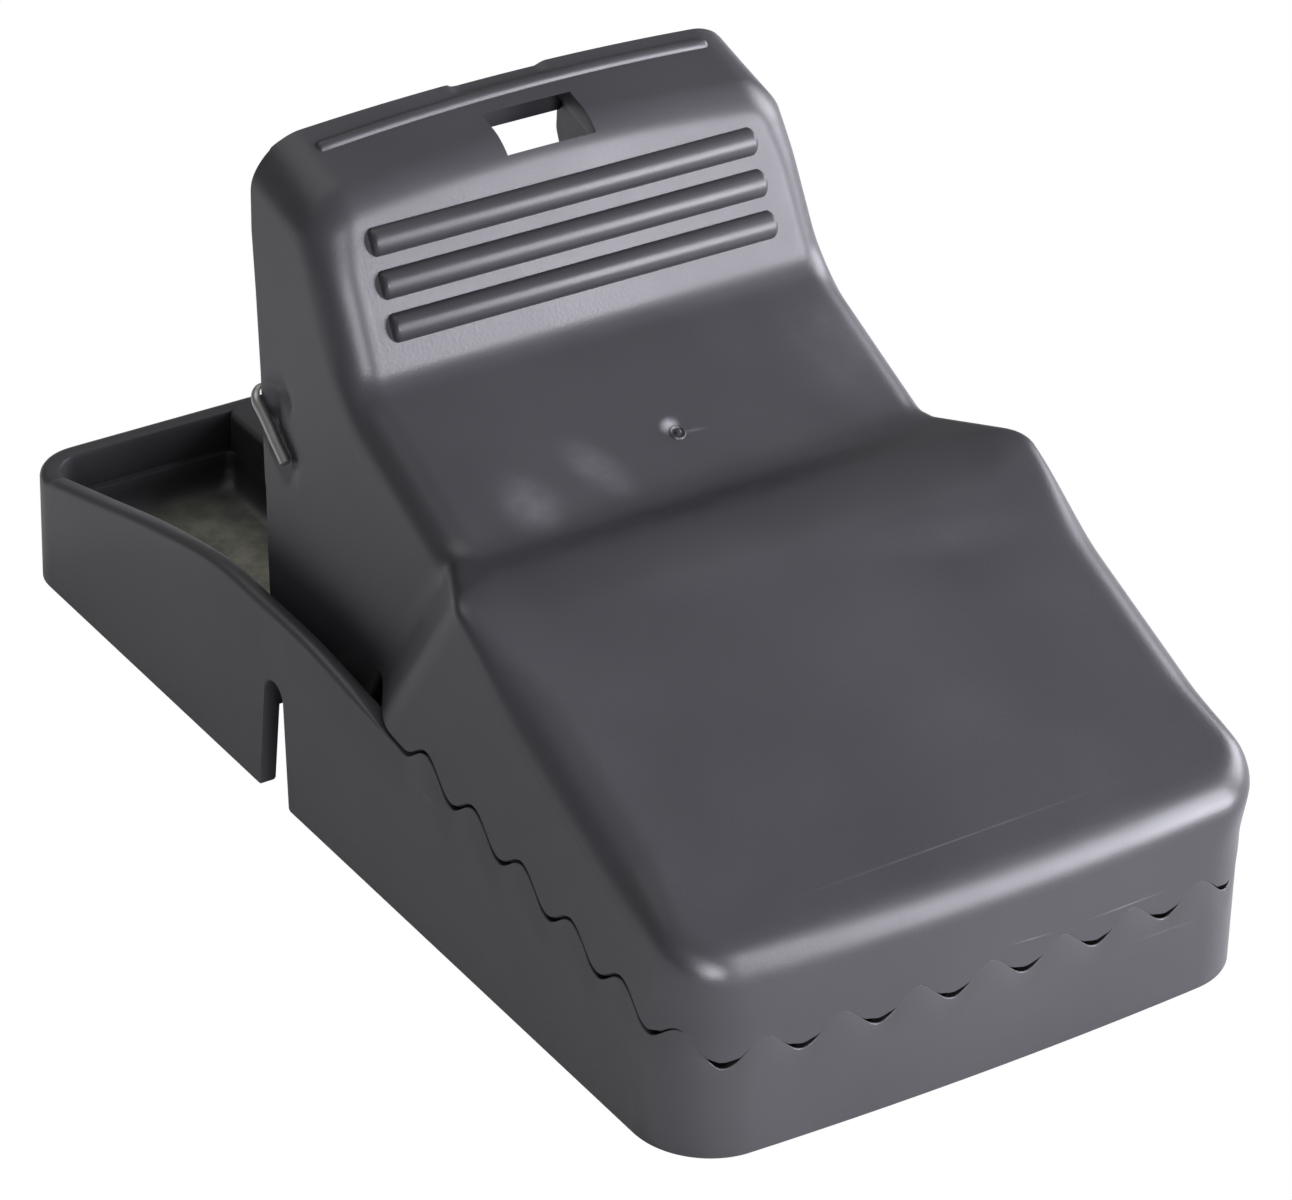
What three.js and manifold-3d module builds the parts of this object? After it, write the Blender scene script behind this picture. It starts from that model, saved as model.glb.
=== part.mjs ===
// Snap trap for rats and mice: two moulded jaws on a steel axle, closed as it lies after a snap.
// Millimetres, +Z up. The mouth opens towards -Y, the set lever stands up behind it and the rear
// tray, which the lever is pressed down into, points to +Y. The origin is on the ground, midway.

import * as THREE from 'three';
import { mergeVertices } from 'three/addons/utils/BufferGeometryUtils.js';
import Module from 'manifold-3d';

const wasm = await Module();
wasm.setup();

// ---- driving sizes -------------------------------------------------------------------------

const clearance = 0.3; // air between two pieces that sit on, in or beside each other
const bond = 0.4; // how far solids that are moulded as one run into each other

// lower jaw, seen from above
const jawHalfWidth = 37.4;
const jawFrontY = -70.7; // front wall where it meets the corners
const jawRearY = 72.0;
const frontBow = 1.3; // the front wall bulges this far ahead at its middle
const bowFull = 2; // the bulge is whole up to here behind the front
const bowEnd = 16; // and gone from here on
const frontCornerRadius = 8.5;
const rearCornerRadius = 6.5;
const jawWallTop = 2.2; // moulded wall, thicker at the rim than at the foot
const jawWallFoot = 1.4;

// the line where the two jaws close
const valleyFrontHeight = 11.3; // lowest points of the wavy rim across the front
const valleySideHeight = 13.7; // the first one along each side
const valleySlope = 0.1536; // rise of the side rim towards the rear, per millimetre
const waveHeight = 3.0;
const frontWaves = 7;
const cornerValleyInset = 5.2; // the outer front valleys lie this far in from the side
const sideValleyY = -64.0; // the first side valley
const sideWavePitch = 9.64;
const sideWaves = 5;
const biteGap = 0.6;

// rim of the side walls behind the teeth, as distance behind the front and height
const rimShape = [
  [63.6, 22.3], [70, 23.2], [76.5, 23.9], [85, 24.1], [96.5, 24.0], [110.5, 21.2], [125, 17.5],
  [137, 14.4],
];
const rearRimHeight = 14.4;

// rear tray
const trayFrontY = 29;
const trayFloorTop = 5.4;
const trayFloorThick = 1.6;
const trayStepHeight = 9.5;
const trayStepWidth = 1.1;
const trayLipThick = 1.6;
const webHalfWidth = 10.7;
const webWall = 1.5;
const webFootHeight = 0.5;
const webFrontInset = 2; // behind the front of the tray

// front floor and the mouth side
const floorBottom = 2.4;
const floorThick = 1.8;
const floorRearY = 3;
const restPadInset = 6; // two pads under the front corners of the pedal
const restPadBack = 5;
const restPadSize = 3;

// open slot in each side wall beside the axle
const slotY = 11.1;
const slotWidthTop = 2.1;
const slotWidthFoot = 2.9;
const slotTop = 14.4;

// axle and its supports
const axleY = 11;
const axleZ = 13.3;
const axleRadius = 1.2;
const axleEndInset = 2.7; // the axle ends this far inside the sides
const axleHalfLength = jawHalfWidth - axleEndInset;
const bossRadius = 3.8;
const bossFootHalf = 2.6;
const bossFootThick = 1.6;
const cheekThick = 1.8;
const cheekTop = 4.7; // above the axle
const cheekTopHalf = 3;
const cheekWaist = 2; // above the axle
const cheekWaistHalf = 5.5;
const cheekFootHalf = 8;
const capRadius = 3.6;
const capThick = 1.2;

// upper jaw: lever and middle
const leverInset = 6.5; // its sides stand this far in from those of the lower jaw
const leverHalfWidth = jawHalfWidth - leverInset; // at the top, wider below by the draft
const sideDraft = 0.024;
const leverWall = 2.0;
const skinThick = 2.2;
const leverEdgeRadius = 4.0;
const topCornerRadius = 5.6;
const bandFront = [-25.0, 44.35]; // brow of the snout, as Y and Z
const bandRadius = 5;
const bandRear = [-15.6, 43.0]; // dip between snout and middle
const dipRadius = 6;
const kink = [5.2, 52.8]; // foot of the thumb panel
const kinkRadius = 2.5;
const panelTop = [15.5, 71.96];
const panelTopRadius = 3.2;
const topRear = [26.1, 75.1];
const topCrown = 1.5; // the top face falls this far from its middle to its sides
const leverRear = [
  [20.3, 8], [22.1, 24.4], [23.3, 36.1], [24.4, 46.9], [25.7, 56.3], [26.8, 63.2], [27.1, 67.9],
  [26.1, 75.1], [26.1, 90],
]; // rear edge of the lever's sides and top
const leverFoot = 7.2; // lowest height of its sides, under the axle
const leverFootFront = 6; // this far ahead of the axle and behind it
const leverFootRear = 5;
const leverRearFoot = 15.5; // height of the rear lower corner
const edgeFlatSpan = [-6.5, 5.2]; // shallow mould flat in the rear top edge
const edgeFlatRun = 1.2;
const edgeFlatDepth = 0.15;

// upper jaw: snout
const snoutOverhang = 0.2; // its walls stand this far outside those of the lower jaw
const snoutHalfWidth = jawHalfWidth + snoutOverhang; // at the foot of its walls
const snoutFoot = 2; // its walls are drawn down to here before the bite is cut
const snoutDraft = 0.0165;
const snoutCornerRadius = 5.2;
const snoutEdgeRadius = 3.9;
const snoutFrontTop = 24.2; // height of the front edge before it is rounded
const snoutFrontRadius = 4.5;
const shoulderRun = 9.6; // the shoulders sweep this far forward to reach full width
const shoulderLean = 0.676; // and this far forward for each millimetre up
const shoulderFoot = [-2.3, 22.9];
const shoulderLip = [1.3, 2.0]; // the shoulder starts this far behind and under the dip

// thumb ribs, bead and window on the lever
const ribCount = 3;
const ribPitch = 4.74;
const ribRadius = 1.65;
const ribHalfLength = 24.65;
const ribFirst = 6.0; // first rib below the top of the panel
const beadY = 22.5;
const beadHalfLength = 24.8;
const beadRadius = 0.9;
const windowHalfWidth = 5.7;
const windowFrontY = 15.2;
const windowRearY = 20.7;
const windowDepth = 7; // the hole reaches this far below the top of the panel
const gussetX = 7.2;
const gussetThick = 1.2;
const gussetDrop = 12; // down the panel
const gussetReach = 2; // short of the rear edge
const gussetEnd = 6;

// centre web, hub and sear of the upper jaw
const webThick = 2.5;
const webSpan = [-4.0, 12.0]; // where it hangs under the lever's skin
const webRearY = [15.5, 15.8]; // its rear edge
const webRearZ = [52.0, 30.0];
const webFront = [-1.0, 38.0]; // its front edge bends here, down to the hub
const webFootHalf = 3.6;
const hubRadius = 4.2;
const hubHalfLength = 6.0;
const searHalfWidth = 3.0;
const searSection = [[-9.0, 1.2], [-3.5, 0.3], [-1.4, 1.3], [-2.4, 3.7], [-8.4, 3.7]];
const jawOpenDegrees = 65; // its section is drawn from the axle, with the jaws wide open

// springs
const wireRadius = 0.75;
const coilRadius = 5.3;
const coilPitch = 2.05;
const coilTurns = 4; // whole turns, besides the part turn between the two legs
const wireSides = 5;
const stepsPerTurn = 8;
const footLegY = 33;
const hookHeight = 43.6;
const hookEnd = [19.6, 37.2];
const recessDepth = 0.6; // the hook lies in a shallow recess of the lever's side
const recessMargin = 1.3;

// trigger pedal, its pin and the bait cup
const pedalPivotY = -1.5;
const pedalPivotZ = 6.8;
const pedalSetDegrees = 12;
const pedalHalfWidth = 22;
const pedalFrontY = -52;
const pedalThick = 2.0;
const pedalCornerRadius = 5;
const pedalHubRadius = 2.2;
const treadCount = 4;
const treadFirst = 2.2;
const treadPitch = 2.1;
const treadHalf = 0.4;
const treadRise = 0.6;
const treadInset = 6;
const pinRadius = 1.0;
const latchHalfWidth = 3.0;
const latchSection = [
  [-1.8, -0.3], [2.5, -0.3], [1.9, 5.6], [4.2, 6.1], [4.2, 7.2], [-1.1, 7.2],
]; // from the pin, with the trap set
const postThick = 2.0;
const postFootHalf = 4;
const postTopHalf = 2.4;
const postTop = 2.6; // above the pin
const cupY = -32;
const cupRadius = 10.4;
const cupWall = 1.2;
const cupBottomZ = 0.9;
const cupTopZ = 9.8;
const cupFlangeRadius = 12.6;
const cupFloor = 1.5;
const lugReach = 1.6;
const lugHalfWidth = 2.3;
const lugThick = 0.9;
const coinSlotHalf = [6.0, 0.9];
const coinSlotDepth = 0.7;

// ---- finishes ------------------------------------------------------------------------------

const blackPlastic = { color: 0x3c3c40, roughness: 0.42, metalness: 0.0 };
const darkPlastic = { color: 0x34343a, roughness: 0.5, metalness: 0.0 };
const steel = { color: 0xa6a6a6, roughness: 0.35, metalness: 1.0 };
const springSteel = { color: 0x8d8d8d, roughness: 0.4, metalness: 1.0 };

// ---- tools for solids ----------------------------------------------------------------------

function toSolid(geometry) {
  const bare = geometry.clone();
  bare.deleteAttribute('normal');
  bare.deleteAttribute('uv');
  const merged = mergeVertices(bare, 1e-4);
  const vertProperties = new Float32Array(merged.attributes.position.array);
  const triVerts = new Uint32Array(merged.index.array);
  return new wasm.Manifold(new wasm.Mesh({ numProp: 3, vertProperties, triVerts }));
}

function toGeometry(solid) {
  const { numProp, vertProperties, triVerts } = solid.getMesh();
  const positions = new Float32Array((vertProperties.length / numProp) * 3);
  for (let i = 0; i < positions.length / 3; i += 1) {
    for (let axis = 0; axis < 3; axis += 1) {
      positions[3 * i + axis] = vertProperties[numProp * i + axis];
    }
  }
  const geometry = new THREE.BufferGeometry();
  geometry.setAttribute('position', new THREE.BufferAttribute(positions, 3));
  geometry.setIndex(Array.from(triVerts));
  geometry.computeVertexNormals();
  return geometry;
}

const joinAll = (solids) => solids.reduce((whole, solid) => whole.add(solid));

const cutAll = (solid, cutters) => cutters.reduce((rest, cutter) => rest.subtract(cutter), solid);

// a box between two corners
function box(low, high) {
  const size = high.map((value, axis) => value - low[axis]);
  const geometry = new THREE.BoxGeometry(...size);
  geometry.translate(...high.map((value, axis) => (value + low[axis]) / 2));
  return toSolid(geometry);
}

// a Y-Z outline carried along X from one place to another
function alongX(outline, fromX, toX) {
  const shape = new THREE.Shape(outline.map(([y, z]) => new THREE.Vector2(y, z)));
  const geometry = new THREE.ExtrudeGeometry(shape, { depth: toX - fromX, bevelEnabled: false });
  const turn = new THREE.Matrix4().makeBasis(
    new THREE.Vector3(0, 1, 0),
    new THREE.Vector3(0, 0, 1),
    new THREE.Vector3(1, 0, 0),
  );
  geometry.applyMatrix4(turn);
  geometry.translate(fromX, 0, 0);
  return toSolid(geometry);
}

// an X-Y outline carried up from one height to another
function alongZ(outline, fromZ, toZ) {
  const shape = new THREE.Shape(outline.map(([x, y]) => new THREE.Vector2(x, y)));
  const geometry = new THREE.ExtrudeGeometry(shape, { depth: toZ - fromZ, bevelEnabled: false });
  geometry.translate(0, 0, fromZ);
  return toSolid(geometry);
}

function cylinderX(radius, fromX, toX, y, z, sides = 20) {
  const geometry = new THREE.CylinderGeometry(radius, radius, toX - fromX, sides);
  geometry.rotateZ(-Math.PI / 2);
  geometry.translate((fromX + toX) / 2, y, z);
  return toSolid(geometry);
}

function cylinderZ(radius, fromZ, toZ, x, y, sides = 36) {
  const geometry = new THREE.CylinderGeometry(radius, radius, toZ - fromZ, sides);
  geometry.rotateX(Math.PI / 2);
  geometry.translate(x, y, (fromZ + toZ) / 2);
  return toSolid(geometry);
}

const bothSides = (build) => joinAll([build(-1), build(1)]);

// a span of X on the left (-1) or right (1), low end first
const spanX = (side, near, far) => (side < 0 ? [-far, -near] : [near, far]);

// a box on the left or right, from Y-Z corner to Y-Z corner
function sideBox(side, near, far, low, high) {
  const [fromX, toX] = spanX(side, near, far);
  return box([fromX, ...low], [toX, ...high]);
}

const radians = (degrees) => (degrees * Math.PI) / 180;

// put a Y-Z outline that is drawn about its pivot in place, turned anticlockwise seen with +Y
// to the right
function placedOutline(outline, [pivotY, pivotZ], degrees) {
  const cos = Math.cos(radians(degrees));
  const sin = Math.sin(radians(degrees));
  return outline.map(([y, z]) => [pivotY + y * cos - z * sin, pivotZ + y * sin + z * cos]);
}

// ---- plan outline of the jaws ----------------------------------------------------------------

// the front bulge, strongest at the middle and gone at the sides and behind the corners
function bowed(x, y) {
  const reach = THREE.MathUtils.smoothstep(-y, -jawFrontY - bowEnd, -jawFrontY - bowFull);
  return y - frontBow * (1 - (x / jawHalfWidth) ** 2) * reach;
}

const frontRun = jawHalfWidth - frontCornerRadius;
const frontCornerRun = (frontCornerRadius * Math.PI) / 2;
const sideStartY = jawFrontY + frontCornerRadius;
const sideEndY = jawRearY - rearCornerRadius;
const rearCornerRun = (rearCornerRadius * Math.PI) / 2;
const sideStart = frontRun + frontCornerRun;
const sideEnd = sideStart + sideEndY - sideStartY;

// the point of the right half of the outline at a run measured from the front middle
function outlineAt(run) {
  if (run <= frontRun) return { x: run, y: jawFrontY, outX: 0, outY: -1 };
  if (run <= sideStart) {
    const turn = (run - frontRun) / frontCornerRadius;
    const outX = Math.sin(turn);
    const outY = -Math.cos(turn);
    return {
      x: frontRun + frontCornerRadius * outX,
      y: sideStartY + frontCornerRadius * outY,
      outX,
      outY,
    };
  }
  if (run <= sideEnd) {
    return { x: jawHalfWidth, y: sideStartY + run - sideStart, outX: 1, outY: 0 };
  }
  const turn = Math.min((run - sideEnd) / rearCornerRadius, Math.PI / 2);
  const outX = Math.cos(turn);
  const outY = Math.sin(turn);
  const past = Math.max(run - sideEnd - rearCornerRun, 0);
  return {
    x: jawHalfWidth - rearCornerRadius + rearCornerRadius * outX - past,
    y: sideEndY + rearCornerRadius * outY,
    outX,
    outY,
  };
}

// waves of the rim: valleys lie at phases of a half, one and a half and so on
const lastFrontPhase = frontWaves / 2;
const cornerTurn = Math.asin(
  (jawHalfWidth - cornerValleyInset - frontRun) / frontCornerRadius,
);
const cornerValleyRun = frontRun + cornerTurn * frontCornerRadius;
const sideTurn = Math.acos((sideStartY - sideValleyY) / frontCornerRadius);
const sideValleyRun = frontRun + sideTurn * frontCornerRadius;
const firstSidePhase = lastFrontPhase + 1;
const lastPhase = firstSidePhase + sideWaves;

function runOfPhase(phase) {
  if (phase <= lastFrontPhase) return (phase / lastFrontPhase) * cornerValleyRun;
  if (phase <= firstSidePhase) {
    return cornerValleyRun + (phase - lastFrontPhase) * (sideValleyRun - cornerValleyRun);
  }
  return sideValleyRun + (phase - firstSidePhase) * sideWavePitch;
}

const teethEndRun = runOfPhase(lastPhase);
const teethEndHeight = valleySideHeight + valleySlope * sideWaves * sideWavePitch;

// the side rim behind the teeth is one smooth line through its heights
const rimCurve = new THREE.SplineCurve([
  new THREE.Vector2(sideStartY + teethEndRun - sideStart, teethEndHeight),
  ...rimShape.map(([behind, height]) => new THREE.Vector2(jawFrontY + behind, height)),
]);
const rimSamples = rimCurve.getPoints(60);

function rimHeight(y) {
  const last = rimSamples[rimSamples.length - 1];
  if (y >= last.x) return rearRimHeight;
  const next = Math.max(1, rimSamples.findIndex((sample) => sample.x > y));
  const { x: y0, y: z0 } = rimSamples[next - 1];
  const { x: y1, y: z1 } = rimSamples[next];
  return THREE.MathUtils.mapLinear(y, y0, y1, z0, z1);
}

function biteHeight(run, phase) {
  if (phase === null) return rimHeight(outlineAt(run).y);
  const rise = valleySlope * Math.max(run - sideValleyRun, 0);
  const turn = THREE.MathUtils.smoothstep(run, cornerValleyRun, sideValleyRun);
  const valley = THREE.MathUtils.lerp(valleyFrontHeight, valleySideHeight, turn) + rise;
  return valley + (waveHeight * (1 + Math.cos(2 * Math.PI * phase))) / 2;
}

// right half of the rim as runs and heights, then the whole rim by mirroring it
function rimStations() {
  const half = [];
  const samplesPerWave = 8;
  for (let step = 0; step <= lastPhase * samplesPerWave; step += 1) {
    const phase = step / samplesPerWave;
    const run = runOfPhase(phase);
    half.push({ ...outlineAt(run), height: biteHeight(run, phase) });
  }
  const sideSteps = 12;
  for (let step = 1; step <= sideSteps; step += 1) {
    const run = THREE.MathUtils.lerp(teethEndRun, sideEnd, step / sideSteps);
    half.push({ ...outlineAt(run), height: biteHeight(run, null) });
  }
  const cornerSteps = 6;
  for (let step = 1; step <= cornerSteps; step += 1) {
    const run = sideEnd + (rearCornerRun * step) / cornerSteps;
    half.push({ ...outlineAt(run), height: rearRimHeight });
  }
  const rearMiddle = { x: 0, y: jawRearY, outX: 0, outY: 1, height: rearRimHeight };
  const mirrored = half.slice(1).reverse().map((point) => ({
    ...point,
    x: -point.x,
    outX: -point.outX,
  }));
  return [...half, rearMiddle, ...mirrored];
}

// a wall around the outline; insets are measured inwards, heights may follow the rim
function ringWall({ outer, inner, low, high }) {
  const stations = rimStations();
  const positions = [];
  const corner = (station, inset, z) => {
    const x = station.x - station.outX * inset;
    const y = station.y - station.outY * inset;
    positions.push(x, bowed(x, y), z);
  };
  for (const station of stations) {
    corner(station, outer.low, low(station));
    corner(station, outer.high, high(station));
    corner(station, inner.high, high(station));
    corner(station, inner.low, low(station));
  }
  const index = [];
  for (let i = 0; i < stations.length; i += 1) {
    const next = (i + 1) % stations.length;
    for (let edge = 0; edge < 4; edge += 1) {
      const a = 4 * i + edge;
      const b = 4 * next + edge;
      const c = 4 * next + ((edge + 1) % 4);
      const d = 4 * i + ((edge + 1) % 4);
      index.push(a, b, c, a, c, d);
    }
  }
  const geometry = new THREE.BufferGeometry();
  geometry.setAttribute('position', new THREE.Float32BufferAttribute(positions, 3));
  geometry.setIndex(index);
  return toSolid(geometry);
}

// a plate that fills the outline, between two heights
function planPlate(inset, fromZ, toZ) {
  const outline = rimStations().map((station) => {
    const x = station.x - station.outX * inset;
    const y = station.y - station.outY * inset;
    return [x, bowed(x, y)];
  });
  return alongZ(outline, fromZ, toZ);
}

// ---- lower jaw -------------------------------------------------------------------------------

const farOut = 60; // beyond the sides and the teeth
const axlePivot = [axleY, axleZ];
const pedalPivot = [pedalPivotY, pedalPivotZ];
const floorTop = floorBottom + floorThick;
const leverHalfAt = (z) => leverHalfWidth + sideDraft * (topRear[1] - z);
const cheekOuterX = leverHalfAt(axleZ + bossRadius) - leverWall - clearance;
const cheekInnerX = cheekOuterX - cheekThick;
const coilStartX = cheekInnerX - clearance - wireRadius - coilPitch * (coilTurns + 1);
const bossInnerX = coilStartX - wireRadius - 1.5 * clearance - bossFootThick;
const holeRadius = axleRadius + clearance;
const pinHoleRadius = pinRadius + clearance;
const postInnerX = pedalHalfWidth + clearance * 2;
const pinEndX = postInnerX + postThick;

function lowerJaw() {
  const wall = ringWall({
    outer: { low: 0, high: 0 },
    inner: { low: jawWallFoot, high: jawWallTop },
    low: () => 0,
    high: (station) => station.height,
  });
  const step = ringWall({
    outer: { low: bond, high: bond },
    inner: { low: jawWallTop + trayStepWidth, high: jawWallTop + trayStepWidth },
    low: () => trayFloorTop - trayFloorThick,
    high: () => trayStepHeight,
  }).intersect(box([-farOut, trayFrontY, 0], [farOut, 2 * farOut, farOut]));
  const trayFloor = planPlate(bond, trayFloorTop - trayFloorThick, trayFloorTop)
    .intersect(box([-farOut, trayFrontY, 0], [farOut, 2 * farOut, farOut]));
  const trayLip = box(
    [-jawHalfWidth + jawWallFoot - bond, trayFrontY, 0],
    [jawHalfWidth - jawWallFoot + bond, trayFrontY + trayLipThick, trayFloorTop],
  );
  const boxFrontY = trayFrontY + webFrontInset;
  const boxRearY = jawRearY - jawWallTop + bond;
  const web = box(
    [-webHalfWidth, boxFrontY, webFootHeight],
    [webHalfWidth, boxRearY, rearRimHeight],
  );
  const webHollow = box(
    [-webHalfWidth + webWall, boxFrontY + webWall, -1],
    [webHalfWidth - webWall, boxRearY - webWall, rearRimHeight - webWall],
  );
  const frontFloor = planPlate(bond, floorBottom, floorTop)
    .intersect(box([-farOut, -2 * farOut, 0], [farOut, floorRearY, farOut]));
  const axlePlate = box(
    [-cheekOuterX, floorRearY - bond, floorBottom],
    [cheekOuterX, axleY + cheekFootHalf, floorTop],
  );
  const cheekOutline = [
    [axleY - cheekFootHalf, floorBottom],
    [axleY + cheekFootHalf, floorBottom],
    [axleY + cheekWaistHalf, axleZ + cheekWaist],
    [axleY + cheekTopHalf, axleZ + cheekTop],
    [axleY - cheekTopHalf, axleZ + cheekTop],
    [axleY - cheekWaistHalf, axleZ + cheekWaist],
  ];
  const cheeks = bothSides((side) => alongX(cheekOutline, ...spanX(side, cheekInnerX, cheekOuterX)));
  const bosses = bothSides((side) => cylinderX(
    bossRadius,
    ...spanX(side, bossInnerX, cheekOuterX),
    ...axlePivot,
  ));
  const bossFeet = bothSides((side) => sideBox(
    side,
    bossInnerX,
    bossInnerX + bossFootThick,
    [axleY - bossFootHalf, floorBottom],
    [axleY + bossFootHalf, axleZ - holeRadius],
  ));
  const postOutline = [
    [pedalPivotY - postFootHalf, floorBottom],
    [pedalPivotY + postFootHalf, floorBottom],
    [pedalPivotY + postTopHalf, pedalPivotZ + postTop],
    [pedalPivotY - postTopHalf, pedalPivotZ + postTop],
  ];
  const posts = bothSides((side) => alongX(
    postOutline,
    ...spanX(side, postInnerX, postInnerX + postThick),
  ));
  const slotOutline = [
    [slotY - slotWidthFoot / 2, -1],
    [slotY + slotWidthFoot / 2, -1],
  ];
  const arcSteps = 6;
  for (let i = 0; i <= arcSteps; i += 1) {
    const turn = (Math.PI * i) / arcSteps;
    const radius = slotWidthTop / 2;
    slotOutline.push([slotY + radius * Math.cos(turn), slotTop - radius + radius * Math.sin(turn)]);
  }
  const slots = bothSides((side) => alongX(
    slotOutline,
    ...spanX(side, jawHalfWidth - jawWallTop - bond, jawHalfWidth + bond),
  ));
  const cupHole = cylinderZ(cupRadius + 2 * clearance, 0, floorTop + 1, 0, cupY);
  const lugGate = box(
    [-cupRadius - lugReach - 2 * clearance, cupY - lugHalfWidth - clearance, 0],
    [cupRadius + lugReach + 2 * clearance, cupY + lugHalfWidth + clearance, floorTop + 1],
  );
  const restPads = bothSides((side) => sideBox(
    side,
    pedalHalfWidth - restPadInset,
    pedalHalfWidth - restPadInset + restPadSize,
    [pedalFrontY + restPadBack, floorBottom],
    [pedalFrontY + restPadBack + restPadSize, pedalPivotZ - pedalThick / 2 - clearance],
  ));
  const shell = joinAll([wall, step, trayFloor, trayLip, web, frontFloor, axlePlate, cheeks,
    bosses, bossFeet, posts, restPads]);
  return cutAll(shell, [
    webHollow,
    slots,
    cupHole,
    lugGate,
    cylinderX(holeRadius, -cheekOuterX - bond, cheekOuterX + bond, ...axlePivot, 16),
    cylinderX(pinHoleRadius, -pinEndX - bond, pinEndX + bond, ...pedalPivot, 16),
  ]);
}

// ---- upper jaw -------------------------------------------------------------------------------

// round the corners of a Y-Z line; each corner has its own radius
function roundedLine(corners, arcSteps = 4) {
  const line = [];
  corners.forEach(([y, z, radius], i) => {
    if (i === 0 || i === corners.length - 1 || !radius) {
      line.push([y, z]);
      return;
    }
    const here = new THREE.Vector2(y, z);
    const before = new THREE.Vector2(...corners[i - 1]).sub(here);
    const after = new THREE.Vector2(...corners[i + 1]).sub(here);
    const between = Math.acos(before.clone().normalize().dot(after.clone().normalize()));
    const wanted = radius / Math.tan(between / 2);
    const reach = Math.min(wanted, before.length() * 0.45, after.length() * 0.45);
    const start = here.clone().add(before.setLength(reach));
    const end = here.clone().add(after.setLength(reach));
    const arc = new THREE.QuadraticBezierCurve(start, here, end);
    for (const point of arc.getPoints(arcSteps)) line.push([point.x, point.y]);
  });
  return line;
}

function heightOn(line, y) {
  const next = line.findIndex((point) => point[0] > y);
  if (next === -1) return line[line.length - 1][1];
  if (next === 0) return line[0][1];
  const [y0, z0] = line[next - 1];
  const [y1, z1] = line[next];
  return THREE.MathUtils.mapLinear(y, y0, y1, z0, z1);
}

// the same line moved inwards, square to itself
function sunkLine(line, depth) {
  return line.map(([y, z], i) => {
    const before = line[Math.max(i - 1, 0)];
    const after = line[Math.min(i + 1, line.length - 1)];
    const run = after[0] - before[0];
    const rise = after[1] - before[1];
    const length = Math.hypot(run, rise);
    return [y + (depth * rise) / length, z - (depth * run) / length];
  }).filter((point, i, all) => i === 0 || point[0] > all[i - 1][0] + 1e-3);
}

// a body of upright slices: each slice is a box with rounded upper edges, a crowned top and
// sides that lean out to the foot
function sliced(stations, { acrossSteps = 8, arcSteps = 4 } = {}) {
  const positions = [];
  const slices = stations.map(({ y, half, foot, top, bottom, roundX, roundZ, crown }) => {
    const edge = [[foot, bottom]];
    for (let i = 0; i <= arcSteps; i += 1) {
      const turn = (Math.PI * i) / (2 * arcSteps);
      edge.push([
        half - roundX + roundX * Math.cos(turn),
        top - roundZ + roundZ * Math.sin(turn),
      ]);
    }
    const flat = [];
    for (let i = 1; i < acrossSteps; i += 1) {
      flat.push([THREE.MathUtils.lerp(half - roundX, roundX - half, i / acrossSteps), top]);
    }
    const left = edge.map(([x, z]) => [-x, z]).reverse();
    const sunk = (x) => crown * (x / half) ** 2;
    return [...edge, ...flat, ...left].map(([x, z]) => [
      x,
      bowed(x, y),
      z === bottom ? z : z - sunk(x),
    ]);
  });
  const count = slices[0].length;
  for (const slice of slices) {
    for (const point of slice) positions.push(...point);
  }
  const index = [];
  for (let i = 0; i < slices.length - 1; i += 1) {
    for (let k = 0; k < count; k += 1) {
      const next = (k + 1) % count;
      const a = i * count + k;
      const b = i * count + next;
      const c = (i + 1) * count + next;
      const d = (i + 1) * count + k;
      index.push(a, c, b, a, d, c);
    }
  }
  const lastSlice = (slices.length - 1) * count;
  for (let k = 1; k < count - 1; k += 1) {
    index.push(0, k, k + 1);
    index.push(lastSlice, lastSlice + k + 1, lastSlice + k);
  }
  const geometry = new THREE.BufferGeometry();
  geometry.setAttribute('position', new THREE.Float32BufferAttribute(positions, 3));
  geometry.setIndex(index);
  return toSolid(geometry);
}

const leverLine = roundedLine([
  [bandRear[0] - leverWall, bandRear[1], 0],
  [...bandRear, dipRadius],
  [...kink, kinkRadius],
  [...panelTop, panelTopRadius],
  [
    2 * topRear[0] - panelTop[0],
    2 * topRear[1] - panelTop[1],
    0,
  ],
]);

const snoutLine = roundedLine([
  [jawFrontY, snoutFrontTop - 2 * snoutFrontRadius, 0],
  [jawFrontY + 0.05, snoutFrontTop, snoutFrontRadius],
  [...bandFront, bandRadius],
  [...bandRear, dipRadius / 2],
  [bandRear[0] + shoulderLip[0], bandRear[1] - shoulderLip[1], 0],
  [...shoulderFoot, 0],
]);

// slope of a line near a place, as the lengthening of an upright cut through a skin
function slant(line, y) {
  const rise = heightOn(line, y + 0.4) - heightOn(line, y - 0.4);
  return Math.hypot(1, rise / 0.8);
}

function leverStations(line, inset, extend) {
  return line.map(([y, top]) => {
    const topness = THREE.MathUtils.smoothstep(y, panelTop[0] - 2, panelTop[0] + 3);
    const round = THREE.MathUtils.lerp(leverEdgeRadius, topCornerRadius, topness) - inset;
    const lowFront = THREE.MathUtils.mapLinear(
      y,
      shoulderFoot[0],
      axleY - leverFootFront,
      shoulderFoot[1],
      leverFoot,
    );
    const lowRear = THREE.MathUtils.mapLinear(
      y,
      axleY + leverFootRear,
      leverRear[1][0],
      leverFoot,
      leverRearFoot,
    );
    const low = Math.max(leverFoot, Math.min(lowFront, shoulderFoot[1]), lowRear);
    const bottom = extend ? -farOut : low;
    return {
      y,
      half: leverHalfAt(top) - inset,
      foot: leverHalfAt(bottom) - inset,
      top,
      bottom,
      roundX: round,
      roundZ: round * Math.min(slant(line, y), 2.2),
      crown: topCrown * topness,
    };
  });
}

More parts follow.
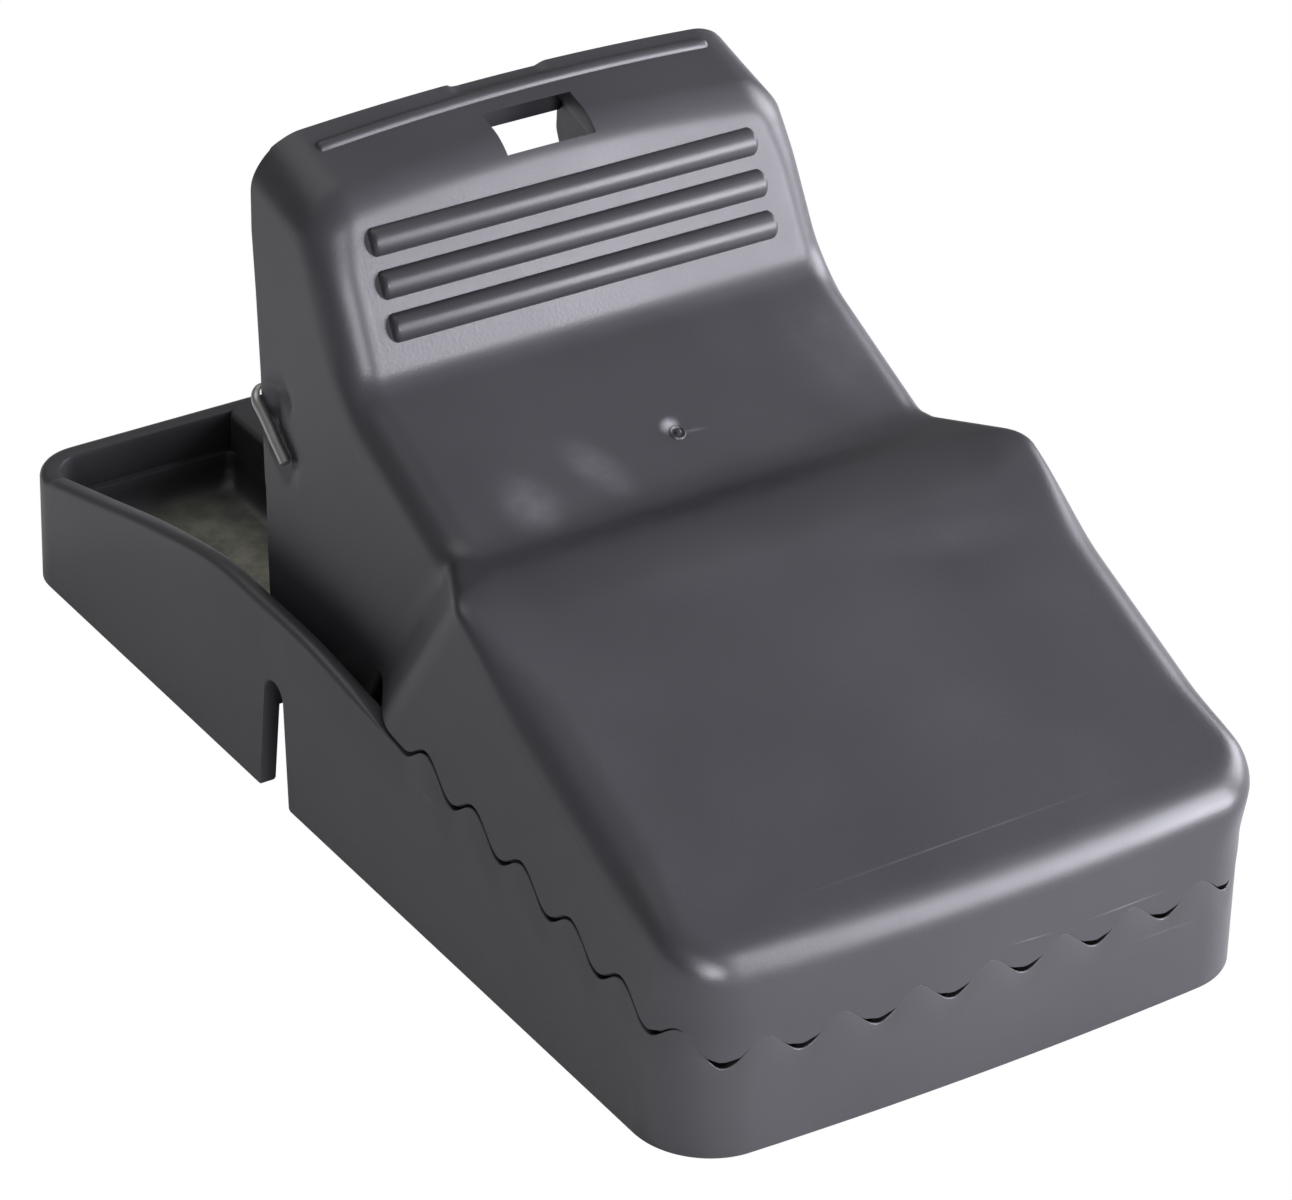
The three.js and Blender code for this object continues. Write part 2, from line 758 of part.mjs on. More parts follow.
function snoutHalfAt(y, z, inset) {
  const radius = snoutCornerRadius - inset;
  const into = Math.min(Math.max(y - jawFrontY - inset, 0), radius);
  const fall = radius - Math.sqrt(radius ** 2 - (radius - into) ** 2);
  return snoutHalfWidth - snoutDraft * (z - snoutFoot) - inset - fall;
}

function snoutStations(line, inset, bottomOf) {
  const frontY = jawFrontY + inset;
  const cornerYs = [0, 0.05, 0.15, 0.33, 0.56, 0.81, 1.02]
    .map((share) => frontY + share * snoutCornerRadius);
  const lineYs = line.map(([y]) => y).filter((y) => y > cornerYs[cornerYs.length - 1] + 0.1);
  return [...cornerYs, ...lineYs].map((y) => {
    const top = heightOn(line, y);
    const bottom = bottomOf(y);
    return {
      y,
      half: snoutHalfAt(y, top, inset),
      foot: snoutHalfAt(y, bottom, inset),
      top,
      bottom,
      roundX: snoutEdgeRadius - inset,
      roundZ: snoutEdgeRadius - inset,
      crown: 0,
    };
  });
}

// the space beside the lever, behind the shoulders: a leaning wedge on each side
function shoulderWedge(side, deeper) {
  const xNear = leverHalfAt(bandRear[1]);
  const xFar = jawHalfWidth + leverInset;
  const perX = shoulderRun / (jawHalfWidth - xNear);
  const yAt = (x, z) => shoulderFoot[0] - deeper
    - shoulderLean * (z - shoulderFoot[1]) - perX * (x - xNear);
  const [zLow, zHigh] = [-farOut, 2 * farOut];
  const positions = [];
  for (const z of [zLow, zHigh]) {
    for (const [x, y] of [
      [xNear - deeper * 0.9, yAt(xNear - deeper * 0.9, z)],
      [xFar, yAt(xFar, z)],
      [xFar, 2 * farOut],
      [xNear - deeper * 0.9, 2 * farOut],
    ]) positions.push(side * x, y, z);
  }
  const faces = [
    [3, 2, 1, 0], [4, 5, 6, 7], [0, 1, 5, 4], [1, 2, 6, 5], [2, 3, 7, 6], [3, 0, 4, 7],
  ];
  const index = [];
  for (const face of faces) {
    const [a, b, c, d] = side > 0 ? face : [...face].reverse();
    index.push(a, b, c, a, c, d);
  }
  const geometry = new THREE.BufferGeometry();
  geometry.setAttribute('position', new THREE.Float32BufferAttribute(positions, 3));
  geometry.setIndex(index);
  return toSolid(geometry);
}

const panelDown = new THREE.Vector2(...kink).sub(new THREE.Vector2(...panelTop)).normalize();

function thumbRibs() {
  const ribs = [];
  for (let i = 0; i < ribCount; i += 1) {
    const down = ribFirst + i * ribPitch;
    const y = panelTop[0] + panelDown.x * down;
    const z = panelTop[1] + panelDown.y * down;
    ribs.push(cylinderX(ribRadius, -ribHalfLength, ribHalfLength, y, z, 14));
  }
  return joinAll(ribs);
}

// half-round bead along the crowned top
function topBead() {
  const points = [];
  const steps = 10;
  for (let i = 0; i <= steps; i += 1) {
    const x = THREE.MathUtils.lerp(-beadHalfLength, beadHalfLength, i / steps);
    const z = heightOn(leverLine, beadY) - topCrown * (x / leverHalfWidth) ** 2;
    points.push(new THREE.Vector3(x, beadY, z));
  }
  const section = [];
  const sides = 8;
  for (let i = 0; i < sides; i += 1) {
    const turn = (2 * Math.PI * i) / sides;
    section.push(new THREE.Vector2(beadRadius * Math.cos(turn), beadRadius * Math.sin(turn)));
  }
  return toSolid(new THREE.ExtrudeGeometry(new THREE.Shape(section), {
    steps,
    extrudePath: new THREE.CatmullRomCurve3(points),
    bevelEnabled: false,
  }));
}

// everything behind the open back of the lever
const behindLever = () => alongX(
  [
    [leverRear[0][0], -farOut],
    [2 * farOut, -farOut],
    [2 * farOut, leverRear[leverRear.length - 1][1]],
    ...[...leverRear].reverse(),
  ],
  -farOut,
  farOut,
);

const edgeFlat = () => box(
  [edgeFlatSpan[0], topRear[0] - edgeFlatRun, topRear[1] - edgeFlatDepth],
  [edgeFlatSpan[1], 2 * farOut, 2 * farOut],
);

// rear edge of the lever's sides at a height
function rearEdgeAt(z) {
  const next = leverRear.findIndex((corner) => corner[1] > z);
  const [y0, z0] = leverRear[next - 1];
  const [y1, z1] = leverRear[next];
  return THREE.MathUtils.mapLinear(z, z0, z1, y0, y1);
}

function upperJaw() {
  const lever = sliced(leverStations(leverLine, 0, false));
  const leverInside = sunkLine(leverLine, skinThick);
  const leverHollowLine = [
    ...leverInside,
    [2 * farOut, leverInside[leverInside.length - 1][1]],
  ];
  const leverHollow = sliced(
    leverStations(leverHollowLine, leverWall, true),
    { acrossSteps: 2 },
  );
  const snoutBottom = (y) => (y > bandRear[0] ? shoulderFoot[1] : snoutFoot);
  const snout = sliced(snoutStations(snoutLine, 0, snoutBottom))
    .subtract(bothSides((side) => shoulderWedge(side, 0)));
  const snoutHollow = sliced(
    snoutStations(sunkLine(snoutLine, skinThick), skinThick, () => -farOut),
    { acrossSteps: 4 },
  ).subtract(bothSides((side) => shoulderWedge(side, skinThick)));
  const below = ringWall({
    outer: { low: -skinThick, high: -skinThick },
    inner: { low: 1.5 * skinThick, high: 1.5 * skinThick },
    low: () => -skinThick,
    high: (station) => station.height + biteGap,
  });
  const shell = cutAll(lever.add(snout), [leverHollow, snoutHollow, below]);

  const webTop = sunkLine(leverLine, skinThick / 2);
  const webLine = webTop.filter(([y]) => y > webSpan[0] && y < webSpan[1]);
  const webOutline = [
    [webSpan[0], heightOn(webTop, webSpan[0])],
    ...webLine,
    [webSpan[1], heightOn(webTop, webSpan[1])],
    [webRearY[0], webRearZ[0]],
    [webRearY[1], webRearZ[1]],
    [axleY + webFootHalf, axleZ],
    [axleY - webFootHalf, axleZ],
    webFront,
  ];
  const web = alongX(webOutline, -webThick / 2, webThick / 2);
  const hub = cylinderX(hubRadius, -hubHalfLength, hubHalfLength, ...axlePivot);
  const sear = alongX(
    placedOutline(searSection, axlePivot, jawOpenDegrees),
    -searHalfWidth,
    searHalfWidth,
  );
  const gussetTop = sunkLine(leverLine, skinThick / 2);
  const gussetRear = topRear[0] - gussetReach;
  const gussetFoot = [
    panelTop[0] + (panelDown.x * gussetDrop) + skinThick / 2,
    panelTop[1] + panelDown.y * gussetDrop,
  ];
  const gussetOutline = [
    gussetFoot,
    ...gussetTop.filter(([y]) => y > gussetFoot[0] && y < gussetRear),
    [gussetRear, heightOn(gussetTop, gussetRear) - topCrown / 4],
    [gussetRear, topRear[1] - gussetEnd],
  ];
  const gussets = bothSides((side) => alongX(
    gussetOutline,
    ...spanX(side, gussetX, gussetX + gussetThick),
  ));
  const windowHole = box(
    [-windowHalfWidth, windowFrontY, panelTop[1] - windowDepth],
    [windowHalfWidth, windowRearY, farOut * 2],
  );
  const recessRear = rearEdgeAt(hookHeight) + recessMargin;
  const recessOutline = [
    [recessRear, hookHeight + 1.5 * recessMargin],
    [recessRear - 3 * recessMargin, hookHeight + recessMargin],
    [hookEnd[0] - recessMargin, hookEnd[1] + recessMargin / 2],
    [hookEnd[0] - recessMargin, hookEnd[1] - recessMargin],
    [hookEnd[0] + recessMargin / 2, hookEnd[1] - recessMargin],
    [recessRear, hookHeight - recessMargin],
  ];
  const recesses = bothSides((side) => alongX(
    recessOutline,
    ...spanX(side, leverHalfAt(hookHeight) - recessDepth, jawHalfWidth),
  ));
  const whole = joinAll([shell, thumbRibs().subtract(leverHollow), topBead(), web, gussets, hub,
    sear]);
  return cutAll(whole, [
    behindLever(),
    windowHole,
    edgeFlat(),
    recesses,
    cylinderX(holeRadius, -farOut, farOut, ...axlePivot, 16),
  ]);
}

// ---- springs ---------------------------------------------------------------------------------

// one unbroken wire: foot leg on the tray floor, coil on the boss, long leg up the lever and a
// hook round its rear edge; given as points from foot to hook on the right side
function springPath() {
  const wireGap = clearance + wireRadius;
  const footZ = trayFloorTop + wireGap;
  const footRise = Math.asin((axleZ - footZ - coilRadius) / (footLegY - axleY));
  const startTurn = -Math.PI / 2 - footRise;
  const behind = rearEdgeAt(hookHeight) + wireGap;
  const hook = new THREE.Vector2(behind - wireRadius / 2, hookHeight - 3 * wireRadius);
  const toHook = hook.clone().sub(new THREE.Vector2(axleY, axleZ));
  const leaveTurn = toHook.angle() + Math.acos(coilRadius / toHook.length());
  const total = startTurn - (leaveTurn - 2 * Math.PI * (coilTurns + 1));
  const steps = Math.round((total / (2 * Math.PI)) * stepsPerTurn);
  const coilEndX = coilStartX + (coilPitch * total) / (2 * Math.PI);
  const points = [
    [coilStartX, footLegY, footZ],
    [coilStartX, footLegY - 2 * wireRadius, footZ + 2 * wireRadius * Math.tan(footRise)],
    [coilStartX, (footLegY + axleY) / 2, (footZ + axleZ - coilRadius + wireRadius / 2) / 2],
  ];
  for (let i = 0; i <= steps; i += 1) {
    const turn = startTurn - (total * i) / steps;
    points.push([
      THREE.MathUtils.lerp(coilStartX, coilEndX, i / steps),
      axleY + coilRadius * Math.cos(turn),
      axleZ + coilRadius * Math.sin(turn),
    ]);
  }
  const leave = points[points.length - 1];
  const upLeg = (share, x) => [
    x,
    THREE.MathUtils.lerp(leave[1], hook.x, share),
    THREE.MathUtils.lerp(leave[2], hook.y, share),
  ];
  const halfX = leverHalfAt(hookHeight);
  const insideX = halfX - leverWall - wireGap;
  const outsideX = halfX - recessDepth + wireGap;
  points.push(
    upLeg(0.2, coilEndX),
    upLeg(0.75, insideX - wireRadius / 2),
    upLeg(1, insideX),
    [halfX - leverWall, behind + wireRadius / 2, hookHeight - wireRadius / 2],
    [halfX - wireRadius, behind + wireRadius / 2, hookHeight],
    [outsideX, behind - wireRadius / 2, hookHeight - wireRadius / 2],
    [outsideX, behind - 2.5 * wireRadius, hookHeight - 2.5 * wireRadius],
    [outsideX, hookEnd[0] + wireRadius, hookEnd[1] + 1.2 * wireRadius],
    [outsideX, ...hookEnd],
  );
  return points.map((point) => new THREE.Vector3(...point));
}

// a tube of flat rings at the points, with closed ends
function wireTube(points, side) {
  const positions = [];
  const place = new THREE.Vector3();
  const across = new THREE.Vector3(1, 0, 0);
  points.forEach((point, i) => {
    const before = points[Math.max(i - 1, 0)];
    const after = points[Math.min(i + 1, points.length - 1)];
    const along = after.clone().sub(before).normalize();
    across.addScaledVector(along, -across.dot(along)).normalize();
    const other = new THREE.Vector3().crossVectors(along, across);
    for (let k = 0; k < wireSides; k += 1) {
      const turn = (2 * Math.PI * k) / wireSides;
      place.copy(point)
        .addScaledVector(across, wireRadius * Math.cos(turn))
        .addScaledVector(other, wireRadius * Math.sin(turn));
      positions.push(side * place.x, place.y, place.z);
    }
  });
  const index = [];
  const face = (a, b, c) => (side > 0 ? index.push(a, b, c) : index.push(a, c, b));
  for (let i = 0; i < points.length - 1; i += 1) {
    for (let k = 0; k < wireSides; k += 1) {
      const next = (k + 1) % wireSides;
      const a = i * wireSides + k;
      const b = i * wireSides + next;
      face(a, b, b + wireSides);
      face(a, b + wireSides, a + wireSides);
    }
  }
  const last = (points.length - 1) * wireSides;
  for (let k = 1; k < wireSides - 1; k += 1) {
    face(0, k + 1, k);
    face(last, last + k, last + k + 1);
  }
  const geometry = new THREE.BufferGeometry();
  geometry.setAttribute('position', new THREE.Float32BufferAttribute(positions, 3));
  geometry.setIndex(index);
  geometry.computeVertexNormals();
  return geometry;
}

// least air between stretches of the wire that aren't next to each other along it
function leastWireGap(points) {
  let least = Infinity;
  const apart = stepsPerTurn / 2;
  for (let i = 0; i < points.length - 1; i += 1) {
    for (let k = i + apart; k < points.length - 1; k += 1) {
      for (const [a, b] of [[0, 0], [0.5, 0], [0, 0.5], [0.5, 0.5]]) {
        const one = points[i].clone().lerp(points[i + 1], a);
        const two = points[k].clone().lerp(points[k + 1], b);
        least = Math.min(least, one.distanceTo(two) - 2 * wireRadius);
      }
    }
  }
  return least;
}

// ---- axle, caps, pedal, pin and cup -----------------------------------------------------------

// a flat ring turned on the X axis
function axleCap(side) {
  const inner = axleRadius + clearance;
  const near = leverHalfAt(axleZ - capRadius) + clearance;
  const ring = cylinderX(capRadius, ...spanX(side, near, near + capThick), ...axlePivot, 24);
  return ring.subtract(cylinderX(inner, -farOut, farOut, ...axlePivot, 16));
}

function triggerPedal() {
  const corner = pedalCornerRadius;
  const outline = [];
  const arcSteps = 4;
  for (const [cx, start] of [[pedalHalfWidth - corner, -90], [-(pedalHalfWidth - corner), 180]]) {
    for (let i = 0; i <= arcSteps; i += 1) {
      const turn = radians(start + (90 * i) / arcSteps);
      outline.push([
        cx + corner * Math.cos(turn),
        pedalFrontY + corner + corner * Math.sin(turn),
      ]);
    }
  }
  const [rightFront, leftFront] = [outline.slice(0, arcSteps + 1), outline.slice(arcSteps + 1)];
  const plan = [
    ...leftFront,
    ...rightFront,
    [pedalHalfWidth, pedalPivotY],
    [-pedalHalfWidth, pedalPivotY],
  ];
  const plateTop = pedalPivotZ + pedalThick / 2;
  const plate = alongZ(plan, pedalPivotZ - pedalThick / 2, plateTop);
  const hub = cylinderX(pedalHubRadius, -pedalHalfWidth, pedalHalfWidth, ...pedalPivot);
  const latch = alongX(
    placedOutline(latchSection, pedalPivot, pedalSetDegrees),
    -latchHalfWidth,
    latchHalfWidth,
  );
  const cupOpening = cylinderZ(cupFlangeRadius, 0, farOut, 0, cupY);
  const treads = [];
  for (let i = 0; i < treadCount; i += 1) {
    const y = pedalFrontY + treadFirst + treadPitch * i;
    treads.push(box(
      [-pedalHalfWidth + treadInset, y - treadHalf, plateTop - bond],
      [pedalHalfWidth - treadInset, y + treadHalf, plateTop + treadRise],
    ));
  }
  return cutAll(joinAll([plate, hub, latch, ...treads]), [
    cupOpening,
    cylinderX(pinHoleRadius, -farOut, farOut, ...pedalPivot, 16),
  ]);
}

function baitCup() {
  const body = joinAll([
    cylinderZ(cupFlangeRadius, cupBottomZ, floorBottom - clearance, 0, cupY),
    cylinderZ(cupRadius, cupBottomZ, cupTopZ, 0, cupY),
  ]);
  const lugLow = floorTop + clearance;
  const lugs = joinAll([-cupRadius - lugReach, cupRadius - cupWall].map((y) => box(
    [-lugHalfWidth, cupY + y, lugLow],
    [lugHalfWidth, cupY + y + cupWall + lugReach, lugLow + lugThick],
  )));
  const hollow = cylinderZ(cupRadius - cupWall, cupBottomZ + cupFloor, cupTopZ + 1, 0, cupY);
  const [slotHalfX, slotHalfY] = coinSlotHalf;
  const coinSlot = box(
    [-slotHalfX, cupY - slotHalfY, 0],
    [slotHalfX, cupY + slotHalfY, cupBottomZ + coinSlotDepth],
  );
  return cutAll(body.add(lugs), [hollow, coinSlot]);
}

// ---- the object ------------------------------------------------------------------------------

const trap = new THREE.Group();

function addPiece(name, geometry, finish) {
  const mesh = new THREE.Mesh(geometry, new THREE.MeshStandardMaterial(finish));
  mesh.name = name;
  trap.add(mesh);
}

const wirePoints = springPath();

addPiece('lower_jaw', toGeometry(lowerJaw()), blackPlastic);
addPiece('upper_jaw', toGeometry(upperJaw()), blackPlastic);
addPiece(
  'pivot_axle',
  toGeometry(cylinderX(axleRadius, -axleHalfLength, axleHalfLength, ...axlePivot, 16)),
  steel,
);
addPiece('axle_cap_left', toGeometry(axleCap(-1)), steel);
addPiece('axle_cap_right', toGeometry(axleCap(1)), steel);
addPiece('jaw_spring_left', wireTube(wirePoints, -1), springSteel);
addPiece('jaw_spring_right', wireTube(wirePoints, 1), springSteel);
addPiece('trigger_pedal', toGeometry(triggerPedal()), darkPlastic);
addPiece(
  'trigger_pin',
  toGeometry(cylinderX(pinRadius, -pinEndX, pinEndX, ...pedalPivot, 12)),
  steel,
);
addPiece('bait_cup', toGeometry(baitCup()), darkPlastic);

console.log(`least air between the turns of a spring: ${leastWireGap(wirePoints).toFixed(2)} mm`);

export default trap;
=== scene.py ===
import math

import bpy
import numpy as np
from mathutils import Matrix, Vector


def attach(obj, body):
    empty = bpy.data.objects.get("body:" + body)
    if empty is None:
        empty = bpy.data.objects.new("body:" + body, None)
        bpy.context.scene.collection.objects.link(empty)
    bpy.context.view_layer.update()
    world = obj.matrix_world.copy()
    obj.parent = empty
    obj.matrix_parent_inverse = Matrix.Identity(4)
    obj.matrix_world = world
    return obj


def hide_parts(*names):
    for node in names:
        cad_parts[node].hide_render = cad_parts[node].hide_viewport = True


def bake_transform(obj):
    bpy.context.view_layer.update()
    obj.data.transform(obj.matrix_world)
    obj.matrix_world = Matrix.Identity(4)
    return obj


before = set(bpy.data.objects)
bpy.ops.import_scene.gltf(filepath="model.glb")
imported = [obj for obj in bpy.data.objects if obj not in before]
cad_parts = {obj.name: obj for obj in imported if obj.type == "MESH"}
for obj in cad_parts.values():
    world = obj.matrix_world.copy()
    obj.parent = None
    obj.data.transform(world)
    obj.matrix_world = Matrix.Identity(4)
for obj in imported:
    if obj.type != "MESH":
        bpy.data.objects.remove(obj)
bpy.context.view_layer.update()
mm = 0.001

# place and axes of the camera, found from the outline, ribs and teeth of the photographed trap
view = {
    "place": (-0.309605, -0.469296, 0.356710),
    "right": (0.83939328, -0.54296657, 0.02462176),
    "up": (0.26093807, 0.44230487, 0.85806627),
    "back": (-0.47679162, -0.71383030, 0.51294839),
    "focalPixels": 5865.0, "imagePixels": 1292.0, "sensor": 36.0, "clip": (0.05, 20.0),
}


def newObject(name, data):
    made = bpy.data.objects.new(name, data)
    bpy.context.scene.collection.objects.link(made)
    return made


def makeCamera():
    data = bpy.data.cameras.new("camera")
    data.sensor_fit = "HORIZONTAL"
    data.sensor_width = view["sensor"]
    data.lens = view["sensor"] * view["focalPixels"] / view["imagePixels"]
    data.clip_start, data.clip_end = view["clip"]
    camera = newObject("camera", data)
    turn = Matrix((view["right"], view["up"], view["back"])).transposed()
    camera.matrix_world = Matrix.Translation(view["place"]) @ turn.to_4x4()
    bpy.context.scene.camera = camera


makeCamera()

coolWhite, plainWhite = (0.99, 0.985, 1.075), (1.0, 1.0, 1.0)
studio = {
    "paper": "ffffff", "paperBounce": "e6e6e6", "worldStrength": 0.22, "floorReach": 6.0,
    "aim": (0.0, 0.0, 0.05),
}
lights = {
    # place, width and height in metres, power in watts, colour
    "tall_softbox": ((0.69, -0.883, 0.48), (0.2, 0.52), 11.6, coolWhite),
    "low_right": ((0.77, -0.918, 0.125), (0.4, 0.2), 9.6, coolWhite),
    "right_side": ((1.05, -0.1, 0.42), (0.7, 0.6), 15.0, coolWhite),
    "front_middle": ((-0.118, -1.121, 0.46), (0.3, 0.3), 3.4, coolWhite),
    "front_left": ((-0.324, -1.128, 0.299), (0.55, 0.3), 8.0, coolWhite),
    "front_left_high": ((-0.292, -1.018, 0.613), (0.3, 0.3), 2.1, coolWhite),
    "rear_left": ((-0.193, 0.529, 1.11), (1.0, 0.7), 3.0, plainWhite),
}


def areaLight(name, place, size, power, colour):
    data = bpy.data.lights.new(name, "AREA")
    data.shape = "RECTANGLE"
    data.size, data.size_y = size
    data.energy = power
    data.color = colour
    away = (Vector(place) - Vector(studio["aim"])).normalized()
    turn = away.to_track_quat("Z", "Y").to_matrix()
    newObject(name, data).matrix_world = Matrix.Translation(place) @ turn.to_4x4()


def linear(hexColour):
    parts = [int(hexColour[i:i + 2], 16) / 255 for i in (0, 2, 4)]
    flat = [p / 12.92 if p <= 0.04045 else ((p + 0.055) / 1.055) ** 2.4 for p in parts]
    return (*flat, 1.0)


def setInputs(tree, node, values):
    # an input gets a link from a socket or else a plain value
    for key, value in values.items():
        if isinstance(value, bpy.types.NodeSocket):
            tree.links.new(value, node.inputs[key])
        else:
            node.inputs[key].default_value = value


def addNode(tree, kind, values=None, **settings):
    node = tree.nodes.new(kind)
    for key, value in settings.items():
        setattr(node, key, value)
    setInputs(tree, node, values or {})
    return node


def newMaterial(name):
    material = bpy.data.materials.new(name)
    material.use_nodes = True
    return material, material.node_tree


def whiteToCamera(tree, other, white, output):
    # the camera sees clean white, all other rays see the other shader
    path = addNode(tree, "ShaderNodeLightPath")
    mix = addNode(tree, "ShaderNodeMixShader", {
        0: path.outputs["Is Camera Ray"], 1: other.outputs[0], 2: white.outputs[0],
    })
    addNode(tree, output, {"Surface": mix.outputs[0]})


def makeWorld():
    world = bpy.data.worlds.new("studio")
    bpy.context.scene.world = world
    world.use_nodes = True
    tree = world.node_tree
    tree.nodes.clear()
    soft, white = [addNode(tree, "ShaderNodeBackground", {
        "Color": linear(studio["paper"]), "Strength": strength,
    }) for strength in (studio["worldStrength"], 1.0)]
    whiteToCamera(tree, soft, white, "ShaderNodeOutputWorld")


def makeFloor():
    mesh = bpy.data.meshes.new("floor")
    reach = studio["floorReach"]
    corners = [(-reach, -reach, 0), (reach, -reach, 0), (reach, reach, 0), (-reach, reach, 0)]
    mesh.from_pydata(corners, [], [(0, 1, 2, 3)])
    material, tree = newMaterial("white_paper")
    tree.nodes.clear()
    glow = addNode(tree, "ShaderNodeEmission", {"Color": linear(studio["paper"]), "Strength": 1.0})
    matte = addNode(tree, "ShaderNodeBsdfDiffuse", {"Color": linear(studio["paperBounce"])})
    whiteToCamera(tree, matte, glow, "ShaderNodeOutputMaterial")
    mesh.materials.append(material)
    floor = newObject("floor", mesh)


makeWorld()
makeFloor()
for name, light in lights.items():
    areaLight(name, *light)
bpy.context.scene.view_settings.view_transform = "Standard"
print("stage done")

plastic = {
    # noises: scale, detail, roughness
    "grain": (2600.0, 3.0, 0.6), "mottling": (45.0, 4.0, 0.55), "clouds": (320.0, 4.0, 0.65),
    "grainDepth": 0.00004, "glossSwing": (-0.04, 0.05), "thinnestCloud": 0.45, "ior": 1.5,
}
steel = {"grain": (900.0, 3.0, 0.5), "glossSwing": (-0.06, 0.1)}
marks = {
    # soft spots, each an ellipsoid: centre, turn in degrees, half sizes, strength
    "upper": [
        # cloudy patches and the sprue's pale scar on the middle slope
        ((-9.8, -10.4, 45.4), (25, 0, 30), (3.6, 6.6, 2.4), 0.15),
        ((-19.4, -12.3, 44.6), (25, 0, 10), (4.6, 6.0, 2.4), 0.17),
        ((0.9, -8.0, 46.6), (25, 0, 30), (1.7, 1.3, 1.0), 1.0),
        ((3.2, -9.3, 46.0), (0, 0, -5), (2.2, 0.3, 0.5), 0.2),
        # painted sheen on the right of the snout's top
        ((20.0, -34.2, 40.3), (-24, 0, -14), (15.0, 8.5, 3.0), 0.05),
        # lighter streaks along the panel's left edge
        ((-28.4, 9.0, 61.0), (63, 0, 0), (0.5, 9.0, 0.7), 0.1),
        ((-26.6, 8.6, 59.5), (63, 0, 0), (0.4, 8.0, 0.7), 0.08),
        # painted highlight along the rounding of the panel's left edge
        ((-29.2, 10.5, 63.0), (63, 0, 0), (1.5, 9.0, 1.6), 0.1),
        # painted light: the right end of the middle slope made lighter, as if lit more from the
        # right
        ((29.0, -4.0, 48.4), (25, 0, 0), (13.0, 13.0, 4.0), 0.12),
        # witness line of the mould along the snout's front
        ((-1.0, -66.1, 26.2), (24, 0, 0.8), (29.0, 0.16, 0.6), 0.16),
        # fine lines on the front
        ((17.6, -71.6, 14.9), (0, 0.5, 0), (7.0, 1.0, 0.14), 0.3),
        ((5.0, -71.9, 15.2), (0, 4, 0), (4.0, 1.0, 0.12), 0.25),
    ],
    "upperPaintedShade": [
        # painted shade in the sprue's moat and in the fold between the snout and the middle slope
        ((1.3, -9.05, 46.1), (25, 0, 0), (1.15, 1.15, 1.2), 1.0),
        ((-4.0, -19.0, 43.6), (0, 0, 0), (31.0, 5.0, 3.0), 0.5),
    ],
    "lower": [
        # fine lines on the front and the left side
        ((23.1, -71.2, 9.6), (0, 2.4, 0), (6.0, 1.0, 0.12), 0.25),
        ((-37.4, -21.0, 18.4), (3, 0, 0), (0.6, 6.0, 0.12), 0.2),
    ],
    # lighter tray floors: some dust, and painted light standing in for the light the pockets'
    # floors get
    "trayDustAndLight": [((x, 50.0, 4.6), (0, 0, 0), (17.0, 30.0, 1.9), 1.0) for x in (-21.0, 21.0)],
}


def remap(tree, value, source, target, kind="LINEAR"):
    return addNode(tree, "ShaderNodeMapRange", {
        "Value": value, "From Min": source[0], "From Max": source[1],
        "To Min": target[0], "To Max": target[1],
    }, interpolation_type=kind).outputs["Result"]


def noise(tree, place, scale, detail, roughness):
    return addNode(tree, "ShaderNodeTexNoise", {
        "Vector": place, "Scale": scale, "Detail": detail, "Roughness": roughness,
    }).outputs["Fac"]


def blendColours(tree, factor, first, second):
    return addNode(tree, "ShaderNodeMix", {
        "Factor": factor, "A": first, "B": second,
    }, data_type="RGBA").outputs["Result"]


def calculate(tree, operation, first, second):
    return addNode(tree, "ShaderNodeMath", {0: first, 1: second}, operation=operation).outputs[0]


def spots(tree, place, ellipsoids):
    # strength of the strongest soft ellipsoid at a place
    total = None
    for centre, turn, size, strength in ellipsoids:
        local = addNode(tree, "ShaderNodeMapping", {
            "Vector": place, "Location": [v * mm for v in centre],
            "Rotation": [math.radians(v) for v in turn], "Scale": [v * mm for v in size],
        }, vector_type="TEXTURE")
        reach = addNode(tree, "ShaderNodeVectorMath", {0: local.outputs[0]}, operation="LENGTH")
        fade = remap(tree, reach.outputs["Value"], (1.0, 0.0), (0.0, strength), "SMOOTHSTEP")
        total = fade if total is None else calculate(tree, "MAXIMUM", total, fade)
    return total


def mouldedPlastic(name, dark, light, roughness, grain, layers=()):
    # black moulded plastic: spark-eroded grain, mottled gloss, and layers of coloured spots
    material, tree = newMaterial(name)
    place = addNode(tree, "ShaderNodeTexCoord").outputs["Object"]
    fine, broad, cloudy = [
        noise(tree, place, *plastic[key]) for key in ("grain", "mottling", "clouds")
    ]
    gloss = remap(tree, broad, (0.3, 0.7), [roughness + swing for swing in plastic["glossSwing"]])
    tint = blendColours(tree, broad, linear(dark), linear(light))
    patchy = remap(tree, cloudy, (0.35, 0.65), (plastic["thinnestCloud"], 1.0))
    for shade, ellipsoids in layers:
        factor = calculate(tree, "MULTIPLY", spots(tree, place, ellipsoids), patchy)
        tint = blendColours(tree, factor, tint, linear(shade))
    bump = addNode(tree, "ShaderNodeBump", {
        "Strength": grain, "Distance": plastic["grainDepth"], "Height": fine,
    })
    setInputs(tree, tree.nodes["Principled BSDF"], {
        "Base Color": tint, "Roughness": gloss, "Normal": bump.outputs["Normal"],
        "IOR": plastic["ior"],
    })
    return material


def drawnSteel(name, colour, roughness):
    # zinc-plated steel wire and rod
    material, tree = newMaterial(name)
    place = addNode(tree, "ShaderNodeTexCoord").outputs["Object"]
    gloss = remap(tree, noise(tree, place, *steel["grain"]), (0.0, 1.0),
                  [roughness + swing for swing in steel["glossSwing"]])
    setInputs(tree, tree.nodes["Principled BSDF"], {
        "Base Color": linear(colour), "Roughness": gloss, "Metallic": 1.0,
    })
    return material


